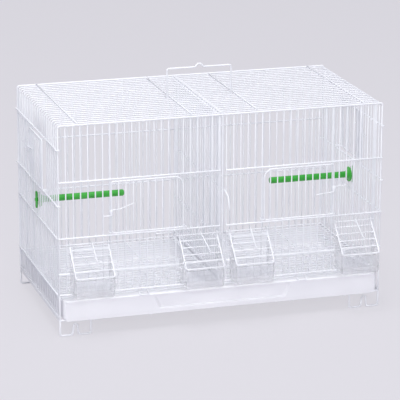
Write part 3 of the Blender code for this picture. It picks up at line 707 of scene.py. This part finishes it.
# %% Doors
DOOR_OUT = 7.9
DOOR_WIRE = 2.7
DOOR_BAR = 2.1
DOOR_CORNER = 16.0
DOOR_CUT = 2.5
LOOP_WIRE = 2.0
LOOP_HALF = 3.4
LOOP_RISE = 0.6
DOOR_NARROWER = 2.0
SIDE_DOOR_INSET = 5.0
FRONT_DOOR_Z = (RAIL_C + 5.4, RAIL_B - 3.2)
SIDE_DOOR_Z = (RAIL_2 + 5.6, RAIL_1 - 2.9)
LATCH_WIRE = 1.95
SLEEVE_Z = (-5.5, -5.5, 5.5, 5.5, 5.1, -5.1)
SLEEVE_RADIUS = (2.7, 2.1, 2.1, 2.7, 3.0, 3.0)
ARM_OUT = -3.6
LATCH_LEFT = (37.8, 15.0, ((14.5, 5.8), (40.5, 15.0)))
LATCH_RIGHT = (47.7, 24.0, ((18.0, 6.2), (34.0, 8.4)))
LATCH_SIDE = (52.4, 15.0, ((20.0, 6.0), (43.0, 8.2)))


def door(name, face, guides, bars, span, heights, flipped=False):
    form = Form()
    (u0, u1), (v0, v1) = span, heights
    corner = arc((u1 - DOOR_CORNER, v1 - DOOR_CORNER), DOOR_CORNER, 90, 0, 8)
    cut = DOOR_CUT
    square = [(u0 + cut, v0), (u0, v0 + cut), (u0, v1 - cut), (u0 + cut, v1)]
    line = np.concatenate([square, corner, [(u1, v0 + cut), (u1 - cut, v0)]])
    if flipped:
        line[:, 0] = u0 + u1 - line[:, 0]
    form.wires(face(*line.T, DOOR_OUT), DOOR_WIRE, closed=True)
    form.wires(upright(face, bars, v0, v1 - 0.4, DOOR_OUT), DOOR_BAR)
    for guide, edge in zip(guides, span):
        reach = (min(guide - LOOP_HALF, edge), max(guide + LOOP_HALF, edge))
        depth = (DOOR_OUT, -LOOP_HALF)
        form.ring(lambda u, w: face(u, v0 + LOOP_RISE, w), reach, depth, 2.0, LOOP_WIRE)
    for v in heights:
        form.beads(face(bars, v, DOOR_OUT), (1.5, 1.5, 1.5))
    wire_piece(form, name, name)


def turn_about(axis, degrees):
    """The 3 x 3 matrix of a turn about one of the axes."""
    c, s = math.cos(math.radians(degrees)), math.sin(math.radians(degrees))
    first, second = {"X": (1, 2), "Y": (2, 0), "Z": (0, 1)}[axis]
    matrix = np.eye(3)
    matrix[first, first] = matrix[second, second] = c
    matrix[second, first] = s
    matrix[first, second] = -s
    return matrix


def latch(name, hinge, matrix, short, bends):
    """The sleeve is a short thick ring carried round a circle; the arms are one bent wire."""
    form = Form()
    height, radius = np.array([SLEEVE_Z, SLEEVE_RADIUS])[..., None]
    turn = around(16)
    ring = stacked(radius * np.cos(turn), radius * np.sin(turn), height)
    form.add(ring, grid_polygons(len(height), len(turn), round_rows=True)[:, ::-1])
    x, z = bent([(-short, -5.2), (-1.6, -5.0), (1.4, 5.4), *bends], 1.8).T
    form.wires(stacked(x, ARM_OUT, z), LATCH_WIRE)
    wire_piece(form.turned(matrix, hinge), name, name, "wire")


for (first, last), (side, name) in zip(DOOR_BARS, SIDES):
    guides = (float(front_u(first)), float(front_u(last)))
    left = guides[0] + (DOOR_NARROWER if side > 0 else 0.0)
    right = guides[1] - (DOOR_NARROWER if side < 0 else 0.0)
    bars = front_u(np.arange(first + 1, last))
    door(f"front_door_{name}", on_front, guides, bars, (left, right), FRONT_DOOR_Z, side > 0)
    rise, *arms = LATCH_LEFT if side < 0 else LATCH_RIGHT
    hinge = on_front(left if side < 0 else right, FRONT_DOOR_Z[0] + rise, DOOR_OUT)
    latch(f"front_door_latch_{name}", hinge, turn_about("Y", 0.0 if side < 0 else 180.0), *arms)

first, last = SIDE_DOOR_BARS
guides = (float(side_u(first)), float(side_u(last)))
span = (guides[0] + SIDE_DOOR_INSET, guides[1])
bars = side_u(np.arange(first + 1, last))
for name, face, turn in (("left", on_left, -90.0), ("right", on_right, 90.0)):
    door(f"side_door_{name}", face, guides, bars, span, SIDE_DOOR_Z)
    rise, *arms = LATCH_SIDE
    hinge = face(span[1], SIDE_DOOR_Z[0] + rise, DOOR_OUT)
    latch(f"side_door_latch_{name}", hinge, turn_about("Z", turn), *arms)

# %% [markdown]
# ## Feeder flaps
#
# Each flap hangs from a hinge wire and rests on the cup's sloping mouth. It is drawn hanging straight down
# from its hinge, and then leaned out by the angle at which it rests. A short loose wire hangs on the same
# hinge; no two of the four hang quite alike.

# %% Flaps
FLAP_HALF = 35.0
FLAP_LENGTH = 68.7
FLAP_ANGLE = 44.4
FLAP_RING = 3.1
FLAP_WIRE = 2.5
FLAP_CORNER = 4.0
FLAP_RUNGS = (11.5, 25.5, 40.0, 54.0)
FLAP_LATCH_ANGLES = (5.0, 7.0, 5.0, 7.0)
FLAP_LATCH_LEANS = (1.5, 8.0, 0.0, 4.0)
FLAP_LATCH_LENGTH = 43.0
FLAP_LATCH_ASIDE = 5.0


def flap(number, centre):
    form = Form()
    left = [(-FLAP_HALF, 0, -FLAP_RING), (-FLAP_HALF, 0, -FLAP_LENGTH)]
    form.wires(bent(mirrored(left), FLAP_CORNER, 6), FLAP_WIRE)
    for drop in FLAP_RUNGS:
        rung = [(-FLAP_HALF, 0, -drop), (FLAP_HALF, 0, -drop)]
        form.wires(np.array(rung), LOOP_WIRE)
        form.beads(rung, (1.5, 1.4, 1.5))
    circle = arc((0.0, 0.0), FLAP_RING, -90, 245, 12)
    for x in (-FLAP_HALF, FLAP_HALF):
        form.wires(stacked(x, *circle.T), BAR - 0.1)
    form.turned(turn_about("X", -FLAP_ANGLE), (centre, -HINGE_OUT, HINGE_Z))
    name = f"feeder_flap_{number}"
    wire_piece(form, name, name)


def flap_latch(number, centre):
    radius = FLAP_RING + 0.1
    loop = arc((0.0, 0.0), radius, 250, 0, 12)
    tail = np.array([(radius, 5.0 - FLAP_LATCH_LENGTH), (radius + 2.5, -FLAP_LATCH_LENGTH)])
    y, z = np.concatenate([loop, tail]).T
    lean = FLAP_LATCH_LEANS[number - 1] * np.clip(-z / FLAP_LATCH_LENGTH, 0.0, 1.0)
    form = Form().wires(stacked(FLAP_LATCH_ASIDE + lean, -y, z), LOOP_WIRE)
    angle = FLAP_ANGLE + FLAP_LATCH_ANGLES[number - 1]
    form.turned(turn_about("X", -angle), (centre, -HINGE_OUT, HINGE_Z))
    name = f"flap_latch_{number}"
    wire_piece(form, name, name, "wire")


for number, centre in enumerate(FEEDER_X, 1):
    flap(number, centre)
    flap_latch(number, centre)

# %% [markdown]
# ## Feeder cups
#
# A cup is a hopper: flat floor, rounded upright edges, a mouth that slopes down to the front, and no wall
# above the sill at the back, where the bird reaches in. The surface is a rounded rectangle carried up from
# the middle of the floor. Its last row follows the height of the mouth, and Solidify gives the wall.

# %% Cups
def outline(counts, corner):
    """A rounded rectangle as a recipe: shares (sx, sy) of the half sizes and outward directions (dx, dy).

    A point is (sx (half_x - r) + r dx, sy (half_y - r) + r dy). Counts are the points along the right, back,
    left and front sides, and corner is how many each rounded corner has.
    """
    parts = []
    for quarter, count in enumerate(counts):
        angle = quarter * math.pi / 2
        run = np.linspace(-1.0, 1.0, count + 2)[1:-1]
        ahead = np.array([math.cos(angle), math.sin(angle)])
        aside = np.array([-math.sin(angle), math.cos(angle)])
        side = np.concatenate([ahead + run[:, None] * aside, np.tile(ahead, (count, 1))], axis=1)
        swing = angle + np.linspace(0.0, math.pi / 2, corner)
        centre = np.tile(ahead + aside, (corner, 1))
        turn = np.concatenate([centre, stacked(np.cos(swing), np.sin(swing))], axis=1)
        parts += [side, turn]
    return np.concatenate(parts).T


def carried(recipe, half_x, half_y, radius, height):
    """Rows of points: each row is the outline at its own half sizes, corner radius and height."""
    sx, sy, dx, dy = recipe
    half_x, half_y, radius = (np.asarray(value, float)[:, None] for value in (half_x, half_y, radius))
    x = sx * (half_x - radius) + radius * dx
    y = sy * (half_y - radius) + radius * dy
    return stacked(x, y, height)


CUP_HALF = 36.5
CUP_BACK = -4.6
CUP_FRONT = -50.5
CUP_BOTTOM = 82.0
CUP_RIM = 116.3
CUP_SHOULDER = (-12.1, 155.5)
CUP_WALL = 1.7
CUP_FILLET = 3.0
CUP_SILL = SILL + 1.7
CUP_DRAFT = 0.9


def smooth(value):
    """0 below 0, 1 above 1, and an S-curve 3t^2 - 2t^3 between."""
    value = np.clip(value, 0.0, 1.0)
    return value * value * (3 - 2 * value)


def cup(number, centre):
    recipe = outline((16, 20, 16, 20), 7)
    middle = (CUP_BACK + CUP_FRONT) / 2
    half_y = (CUP_BACK - CUP_FRONT) / 2
    swing = np.radians(np.linspace(0, 90, 6))
    inset = np.concatenate([[33.0, 28.0, 18.0, 8.0], CUP_FILLET * (1 - np.sin(swing)), np.zeros(18)])
    share = np.concatenate([np.zeros(10), np.linspace(0, 1, 19)[1:]])
    low = np.concatenate([np.zeros(4), CUP_FILLET * (1 - np.cos(swing)), np.full(18, CUP_FILLET)])
    inset = inset + CUP_DRAFT * (1 - share)
    half_y_rows = np.maximum(half_y - inset, half_y * (CUP_HALF - inset) / CUP_HALF)
    radius = np.clip(5.0 - 0.6 * inset, 0.4, 5.0)
    flat = carried(recipe, CUP_HALF - inset, half_y_rows, radius, 0.0)
    y = flat[..., 1] + middle
    slope = (CUP_SHOULDER[1] - CUP_RIM) / (CUP_SHOULDER[0] - CUP_FRONT)
    mouth = np.minimum(CUP_RIM + slope * (y - CUP_FRONT), CUP_SHOULDER[1])
    backward = np.broadcast_to(recipe[3], y.shape)
    mouth = mouth + (CUP_SILL + 1.6 - mouth) * smooth(backward * 1.6 - 0.3)
    start = CUP_BOTTOM + low[:, None]
    z = start + share[:, None] * (mouth - start)
    points = stacked(flat[..., 0] + centre, y, z)
    rows, columns = z.shape
    form = Form().add(points, grid_polygons(rows, columns), end_faces(rows, columns)[0])
    obj = piece(f"feeder_cup_{number}_moulding", form, CLEAR, "cage", f"feeder_cup_{number}")
    wall = obj.modifiers.new("wall", "SOLIDIFY")
    wall.thickness = CUP_WALL * MM
    wall.offset = -1.0
    wall.use_even_offset = True


for number, centre in enumerate(FEEDER_X, 1):
    cup(number, centre)

# %% [markdown]
# The lip that hangs a cup on the sill is a strip bent twice. Its outline is carried straight along X, and
# the ends are closed with the same outline.

# %% Cup lips
LIP_HALF = 22.0
LIP_INSIDE = 1.5
LIP_WALL = 1.6
LIP_DROP = 8.0


def cup_lip(number, centre):
    inside, outside = LIP_INSIDE, LIP_INSIDE + LIP_WALL
    top = CUP_SILL + LIP_WALL
    root = CUP_BACK - 0.6
    rounded = arc((outside - 1.4, top - 1.4), 1.4, 0, 90, 4)
    low = CUP_SILL - LIP_DROP
    hook = [(root, CUP_SILL), (inside, CUP_SILL), (inside, low), (outside, low)]
    profile = np.concatenate([hook, rounded, [(root, top)]])
    x = centre + np.array([-LIP_HALF, LIP_HALF])[:, None]
    form = Form().skin(stacked(x, *profile.T))
    piece(f"feeder_cup_{number}_lip", form, CLEAR, "cage", f"feeder_cup_{number}")


for number, centre in enumerate(FEEDER_X, 1):
    cup_lip(number, centre)

# %% [markdown]
# ## Litter tray
#
# One closed surface: from the middle of the underside outward, up the outside, over the rim, down the inside
# and to the middle of the floor. The wide recess in the front is a push on those points, a product of
# S-curves in x and z. The lip along the top is a push the other way, and the lowest rows drop at the front
# into an apron that hides the base ring.

# %% Tray
TRAY_HALF = 294.5
TRAY_FRONT = -6.0
TRAY_BACK = 303.0
TRAY_Z = (32.0, 67.2)
TRAY_WALL = 2.5
TRAY_LEDGE = 5.5
TRAY_LIP_OUT = 3.0
TRAY_LIP_TALL = 4.0
RECESS_HALF = 129.5
RECESS_SLOPE = 12.0
RECESS_DEEP = 5.0
APRON_INSET = (3.6, 2.6, 2.5, 2.1, 0.5, 0.0)
APRON_Z = (32.0, 31.8, 29.3, 28.5, 28.4, 28.8)
UNDERSIDE_ROWS = 3
FOOT_ROWS = 6


def tray_rows():
    """From the underside's middle to the floor's middle: inset from the outer wall, height, outside or in."""
    low, high = TRAY_Z
    floor = low + TRAY_WALL
    foot = np.radians(np.linspace(0, 90, FOOT_ROWS))
    rim = np.radians(np.linspace(0, 180, 9))
    wall = np.concatenate([np.arange(low + 4.2, low + 7.0, 0.5), np.linspace(low + 7.5, high - 6.0, 9)])
    wall = np.concatenate([wall, np.arange(high - 5.6, high - 1.4, 0.35)])
    inner = np.linspace(high - 2.0, low + 6.0, 6)
    parts = [
        ((150.0, low), (100.0, low), (30.0, low)),
        stacked(4.0 * (1 - np.sin(foot)), low + 4.0 * (1 - np.cos(foot))),
        stacked(0.0, wall),
        stacked(1.25 * (1 - np.cos(rim)), high - 1.25 + 1.25 * np.sin(rim)),
        stacked(TRAY_WALL, inner),
        stacked(TRAY_WALL + 3.0 * (1 - np.cos(foot)), floor + 3.0 * (1 - np.sin(foot))),
        ((30.0, floor), (100.0, floor), (150.0, floor)),
    ]
    rows = np.concatenate(parts)
    outside = np.arange(len(rows)) < UNDERSIDE_ROWS + FOOT_ROWS + len(wall) + 4
    return rows[:, 0], rows[:, 1], outside


inset, height, outside = tray_rows()
recipe = outline((30, 40, 30, 295), 8)
half_y = (TRAY_BACK - TRAY_FRONT) / 2
middle = (TRAY_BACK + TRAY_FRONT) / 2
radius = np.clip(6.0 - 0.8 * inset, 1.0, 6.0)
points = carried(recipe, TRAY_HALF - inset, half_y - inset, radius, height[:, None])
x, y, z = np.moveaxis(points, -1, 0)
front = smooth((-np.broadcast_to(recipe[3], x.shape) - 0.9) * 10)
near = smooth((8.0 - inset[:, None]) / 4.0)
low, high = TRAY_Z
top = high - TRAY_LIP_TALL
half = RECESS_HALF - RECESS_SLOPE * (top - z) / (top - low - RECESS_DEEP)
hollow = smooth((half - np.abs(x)) / 4.0) * smooth((top - z) / 1.2)
hollow = hollow * smooth((z - low - RECESS_DEEP) / 2.4)
lip_band = smooth((z - top + 0.3) / 0.7) * smooth((high - 0.2 - z) / 0.9)
ledge = smooth((RECESS_HALF + 16.0 - np.abs(x)) / 5.0) * near
push = np.where(outside[:, None], RECESS_DEEP * hollow - TRAY_LIP_OUT * lip_band, TRAY_LEDGE * ledge)
drop = np.zeros((len(inset), 1))
foot = slice(UNDERSIDE_ROWS, UNDERSIDE_ROWS + FOOT_ROWS)
drop[foot, 0] = APRON_Z - height[foot]
push[foot] += (APRON_INSET - inset[foot])[:, None]
points = stacked(x, y + middle + front * push, z + front * drop)
piece("tray_moulding", Form().skin(points), TRAY_PLASTIC, "tray", "tray", "tray_floor", sharp=50.0)

# %% [markdown]
# ## Floor grates
#
# Two grates lie over the tray, with wires from left to right, two stiffeners below, and a small loop at the
# front to pull them out by.

# %% Grates
GRATE_Z = 71.2
GRATE_X = (3.8, 296.3)
GRATE_Y = (2.2, 302.0)
GRATE_WIRE = 2.7
STIFFENER_X = (100.0, 200.0)
PULL_X = 148.0
PULL_HALF = 8.0


def grate(name, side):
    ends = [side * x for x in GRATE_X]
    y0, y1 = GRATE_Y
    form = Form().ring(lambda x, y: stacked(x, y, GRATE_Z), ends, GRATE_Y, 3.0, GRATE_WIRE)
    y = side_u(np.arange(1, SIDE_PITCHES - 1))
    form.wires(stacked(ends, y[:, None], GRATE_Z + 0.4), LOOP_WIRE)
    for x in STIFFENER_X:
        form.wires(stacked(side * x, [y0 - 1.0, y1 + 1.0], GRATE_Z - 2.0), BAR)
        form.beads(stacked(side * x, y, GRATE_Z - 0.8), (1.5, 1.5, 1.1))
    form.beads(stacked(ends, y[:, None], GRATE_Z + 0.3), (1.4, 1.4, 1.3))
    drop = GRATE_Z - 1.8
    pull = [(-PULL_HALF, y0, GRATE_Z), (-PULL_HALF, -10.0, GRATE_Z), (-PULL_HALF, -16.0, drop)]
    form.wires(bent(mirrored(pull), 3.0) + (side * PULL_X, 0.0, 0.0), BAR)
    wire_piece(form, name, name)


for side, name in SIDES:
    grate(f"floor_grate_{name}", side)

# %% [markdown]
# ## Divider
#
# The wall between the cabins is a wire frame with bars and two rails. The upper rail runs on out of the slot
# at the front and turns down: that hook is what one pulls.

# %% Divider
DIVIDER_Y = (1.0, 303.5)
DIVIDER_Z = (80.2, 379.7)
DIVIDER_RAILS = (150.0, 246.0)
DIVIDER_HOOK = ((-13.0, -1.6), (-25.5, -8.0), (-32.0, -28.0))

form = Form().ring(lambda y, z: stacked(0.0, y, z), DIVIDER_Y, DIVIDER_Z, 4.0, POST)
y0, y1 = DIVIDER_Y
y = side_u(np.arange(1, SIDE_PITCHES - 1))
bars = stacked(0.0, y[:, None], DIVIDER_Z)
form.wires(bars, BAR)
x = RAIL_OUT
low, high = DIVIDER_RAILS
form.wires(stacked(x, [y0 - 1.0, y1 + 1.0], low), RAIL)
hook = [(x, y1 + 1.0, high), (x, -4.0, high)] + [(x, y, high + drop) for y, drop in DIVIDER_HOOK]
form.wires(bent(hook, 5.0, 5), RAIL)
form.wires(stacked(0.0, [y1 - 2.0, DEPTH - 2.4], DIVIDER_Z[0]), RAIL)
for height in DIVIDER_RAILS:
    form.beads(stacked(BAR / 2, y, height), SIDE_BEAD)
form.beads(bars, (1.6, 1.5, 1.3))
wire_piece(form, "divider", "divider")

# %% [markdown]
# ## Perches
#
# A perch is a turned shape: a profile of distance along and radius, carried round its axis. Twelve shallow
# grooves run along the rod, so the radius is also a function of the angle. The wing nut outside is turned
# too, from a round bore to a long capsule: its radius goes from the one shape to the other row by row.

# %% Perches and nuts
PERCH_Z = 210.0
PERCH_RADIUS = 6.0
PERCH_LENGTH = 160.0
PERCH_GROOVES = 12
PERCH_GROOVE = 0.28
NUT_HALF = 4.5
NUT_REACH = 16.0
NUT_NEAR = -2.2
NUT_FAR = -4.7
NUT_BORE = 3.6


def turned_surface(along, radius, teeth, depth, steps):
    """Points (s, r cos a, r sin a), where r is the profile's radius less depth (1 - |cos(teeth a / 2)|)^2."""
    angle = around(steps)[None, :]
    groove = depth[:, None] * (1 - np.abs(np.cos(angle * teeth / 2))) ** 2
    r = radius[:, None] - groove
    return stacked(along[:, None], r * np.cos(angle), r * np.sin(angle))


def perch_profile():
    flange = BAR / 2 + 0.3
    swing = np.radians(np.linspace(0, 90, 6))
    parts = [
        [(-6.0, 2.6), (-5.4, 3.4), (flange, 3.4), (flange, 13.4), (flange + 0.6, 14.0)],
        [(flange + 2.4, 14.0), (flange + 3.0, 13.4), (flange + 3.0, 9.4), (flange + 3.6, 8.2)],
        [(flange + 6.0, 6.8), (flange + 9.0, PERCH_RADIUS), (flange + 11.0, PERCH_RADIUS)],
        [(80.0, PERCH_RADIUS), (PERCH_LENGTH - 5.0, PERCH_RADIUS), (PERCH_LENGTH - 3.0, PERCH_RADIUS)],
        stacked(PERCH_LENGTH - 3.0 + 3.0 * np.sin(swing), 3.0 + 3.0 * np.cos(swing)),
        [(PERCH_LENGTH, 1.0)],
    ]
    profile = np.concatenate(parts)
    grooved = (profile[:, 0] > flange + 10.0) & (profile[:, 0] < PERCH_LENGTH - 2.0)
    return profile[:, 0], profile[:, 1], PERCH_GROOVE * grooved


def nut_surface(steps=96):
    """Rows (x, share, r): the radius at an angle is share times the capsule's, plus r."""
    angle = around(steps)
    across, along = np.abs(np.cos(angle)), np.abs(np.sin(angle))
    straight = NUT_REACH - NUT_HALF
    side = NUT_HALF / np.maximum(across, 1e-6)
    cap = straight * along + np.sqrt(np.maximum(NUT_HALF ** 2 - (straight * across) ** 2, 0.0))
    capsule = np.where(side * along <= straight, side, cap)
    rows = [(NUT_NEAR, 0, NUT_BORE), (NUT_NEAR, 1, -0.4), (NUT_NEAR - 0.4, 1, 0.0)]
    rows += [(NUT_FAR + 0.6, 1, 0.0), (NUT_FAR + 0.2, 1, -0.2), (NUT_FAR, 1, -0.6), (NUT_FAR, 0, NUT_BORE)]
    x, share, r = np.array(rows).T[:, :, None]
    radius = share * capsule + r
    return stacked(x, radius * np.cos(angle), radius * np.sin(angle)), grid_polygons(len(rows), steps, True)


for side, name in SIDES:
    turn = turn_about("Z", 0.0 if side < 0 else 180.0)
    place = (side * HALF, DEPTH / 2, PERCH_Z)
    along, radius, depth = perch_profile()
    form = Form().skin(turned_surface(along, radius, PERCH_GROOVES, depth, 96))
    piece(f"perch_{name}_rod", form.turned(turn, place), GREEN, "cage", f"perch_{name}", sharp=35.0)
    form = Form().add(*nut_surface())
    node = f"perch_nut_{name}"
    piece(f"{node}_ring", form.turned(turn, place), GREEN, "cage", node, sharp=35.0)

# %% [markdown]
# ## Handle
#
# The carry handle is a wire bail. Its feet curl round one of the top's long wires, so it can fold down, and
# the middle of the grip has a shallow raised bend for two fingers.

# %% Handle
HANDLE_BAR = 11
HANDLE_HALF = 60.5
HANDLE_RISE = 54.0
HANDLE_WIRE = 3.1
HANDLE_CORNER = 3.5
HANDLE_GRIP = ((8.0, 0.0), (3.0, 5.8))
HANDLE_RING = 3.6
HANDLE_CURL = 430.0

curl = arc((0.0, 0.0), HANDLE_RING, HANDLE_CURL, 180, 16)
foot = stacked(-HANDLE_HALF, *curl.T)
rise = HANDLE_RISE
half = [(-HANDLE_HALF, 0.0), (-HANDLE_HALF, rise), *((-x, rise + up) for x, up in HANDLE_GRIP)]
x, z = mirrored(half).T
corners = stacked(x, -HANDLE_RING, z)
near, far = bent(corners[:3], HANDLE_CORNER, 6), bent(corners[-3:], HANDLE_CORNER, 6)
grip = np.concatenate([near[:-1], bent(corners[1:-1], 2.5, 4)[1:-1], far[1:]])
line = np.concatenate([foot, grip[1:-1], foot[::-1] * (-1.0, 1.0, 1.0)])
form = Form().wires(line + (0.0, float(side_u(HANDLE_BAR)), TOP_Z), HANDLE_WIRE, 12)
wire_piece(form, "handle", "handle", "wire")

print("triangles:", sum(PIECES.values()), "in", len(PIECES), "pieces, most", max(PIECES.values()))

# %% [markdown]
# ## Studio
#
# White wire on a white ground would vanish, so the ground is a pale lavender grey: a sweep of floor that
# turns up into a backdrop. One soft light hangs overhead, one stands ahead, and a pale sky fills. Floor and
# sky show their plain colour to the camera, in reflections and through clear plastic, and a small share of
# the floor's own shading is kept for the shadow.

# %% Sweep
PALE = (0.775, 0.760, 0.815, 1.0)
PALE_SHARE = 0.8
SWEEP_MATT = (0.60, 0.59, 0.63, 1.0)
SWEEP_NEAR = -6.0
SWEEP_FAR = 3.0
SWEEP_BEND = 1.5
SWEEP_TALL = 6.0
SWEEP_HALF = 8.0


def seen_plainly(nodes):
    """1 for a ray from the camera, off a gloss or through clear plastic, and 0 for the rays that light."""
    rays = {wire.socket.name: wire for wire in nodes.node("ShaderNodeLightPath")}
    seen = rays["Is Camera Ray"]
    for name in ("Is Glossy Ray", "Is Transmission Ray"):
        seen = seen.math("MAXIMUM", seen, rays[name])
    return seen


def sweep_pale():
    """A matt floor that the camera sees as mostly its own plain colour, whatever light falls on it."""
    finish = Finish("sweep_pale", Base_Color=SWEEP_MATT, Roughness=0.9)
    plain = finish.node("ShaderNodeEmission", None, {"Color": PALE})[0]
    lit = Wire(finish, finish.surface.outputs[0])
    share = seen_plainly(finish) * PALE_SHARE
    mixed = finish.node("ShaderNodeMixShader", None, {0: share, 1: lit, 2: plain})[0]
    finish.put(finish.tree.nodes["Material Output"].inputs["Surface"], mixed)
    return finish.material


# The floor runs back level, turns up along a quarter circle, and rises as a wall.
turn = np.radians(np.linspace(0, 90, 17))
along = np.concatenate([[SWEEP_NEAR, 0.0], SWEEP_FAR + SWEEP_BEND * np.sin(turn), [SWEEP_FAR + SWEEP_BEND]])
height = np.concatenate([[0.0, 0.0], SWEEP_BEND * (1 - np.cos(turn)), [SWEEP_TALL]])
points = stacked([-SWEEP_HALF, SWEEP_HALF], along[:, None], height[:, None])
polygons = grid_polygons(len(along), 2, round_columns=False)
mesh = bpy.data.meshes.new("sweep")
mesh.from_pydata(points.reshape(-1, 3).tolist(), [], polygons.tolist())
mesh.shade_smooth()
mesh.materials.append(sweep_pale())
shown("sweep", mesh)

# %% Sky
SKY_COLOUR = (0.86, 0.87, 1.0, 1.0)
SKY_STRENGTH = 0.42

# The sweep's colour wherever it is seen, and a pale blue fill for the light.
world = bpy.data.worlds.new("studio")
world.use_nodes = True
world.node_tree.nodes.clear()
nodes = Nodes(world.node_tree)
fill = nodes.node("ShaderNodeBackground", None, {"Color": SKY_COLOUR, "Strength": SKY_STRENGTH})[0]
plain = nodes.node("ShaderNodeBackground", None, {"Color": PALE})[0]
mixed = nodes.node("ShaderNodeMixShader", None, {0: seen_plainly(nodes), 1: fill, 2: plain})[0]
nodes.node("ShaderNodeOutputWorld", None, {"Surface": mixed})
bpy.context.scene.world = world

# %% Lamps
LAMP_AIM = (0.0, 0.0, 0.2)
LAMPS = (("overhead", (-0.5, -0.6, 3.2), 1.6, 62.0), ("front", (-0.9, -4.0, 1.8), 1.4, 72.0))


def stood(obj, right, up, back, place):
    """Stands an object with its own X, Y and Z along three directions, at a place in metres."""
    matrix = np.eye(4)
    matrix[:3] = stacked(right, up, back, place)
    obj.matrix_world = Matrix(matrix.tolist())


for name, place, size, power in LAMPS:
    light = bpy.data.lights.new(name, "AREA")
    light.shape = "SQUARE"
    light.size = size
    light.energy = power
    back = unit(np.array(place) - LAMP_AIM)
    right = unit(np.cross((0.0, 0.0, 1.0), back))
    stood(shown(name, light), right, np.cross(back, right), back, place)
    print(name, "lamp of", power, "W")

# %% [markdown]
# ## Camera
#
# The camera stands where the photograph was taken: seventeen degrees round to the left and sixteen up, far
# away with a long lens. Its place was fitted to the cage's corners in the picture.

# %% Camera
CAMERA_PLACE = (-1210.0, -3800.0, 1391.0)
CAMERA_TURN = -17.083
CAMERA_DROP = 16.271
CAMERA_ROLL = 0.165
CAMERA_LENS = 210.3

turn, drop, roll = (math.radians(angle) for angle in (CAMERA_TURN, CAMERA_DROP, CAMERA_ROLL))
back = np.array([math.sin(turn) * math.cos(drop), -math.cos(turn) * math.cos(drop), math.sin(drop)])
right = np.array([math.cos(turn), math.sin(turn), 0.0])
up = np.cross(back, right)
tilted_right = right * math.cos(roll) + up * math.sin(roll)
tilted_up = up * math.cos(roll) - right * math.sin(roll)
data = bpy.data.cameras.new("camera")
data.lens = CAMERA_LENS
obj = shown("camera", data)
place = np.array(CAMERA_PLACE) * MM + (0.0, FRONT_PLANE, 0.0)
stood(obj, tilted_right, tilted_up, back, place)
bpy.context.scene.camera = obj
print("camera at", place.round(3), "with a lens of", CAMERA_LENS, "mm")

bpy.context.scene.view_settings.view_transform = "Standard"
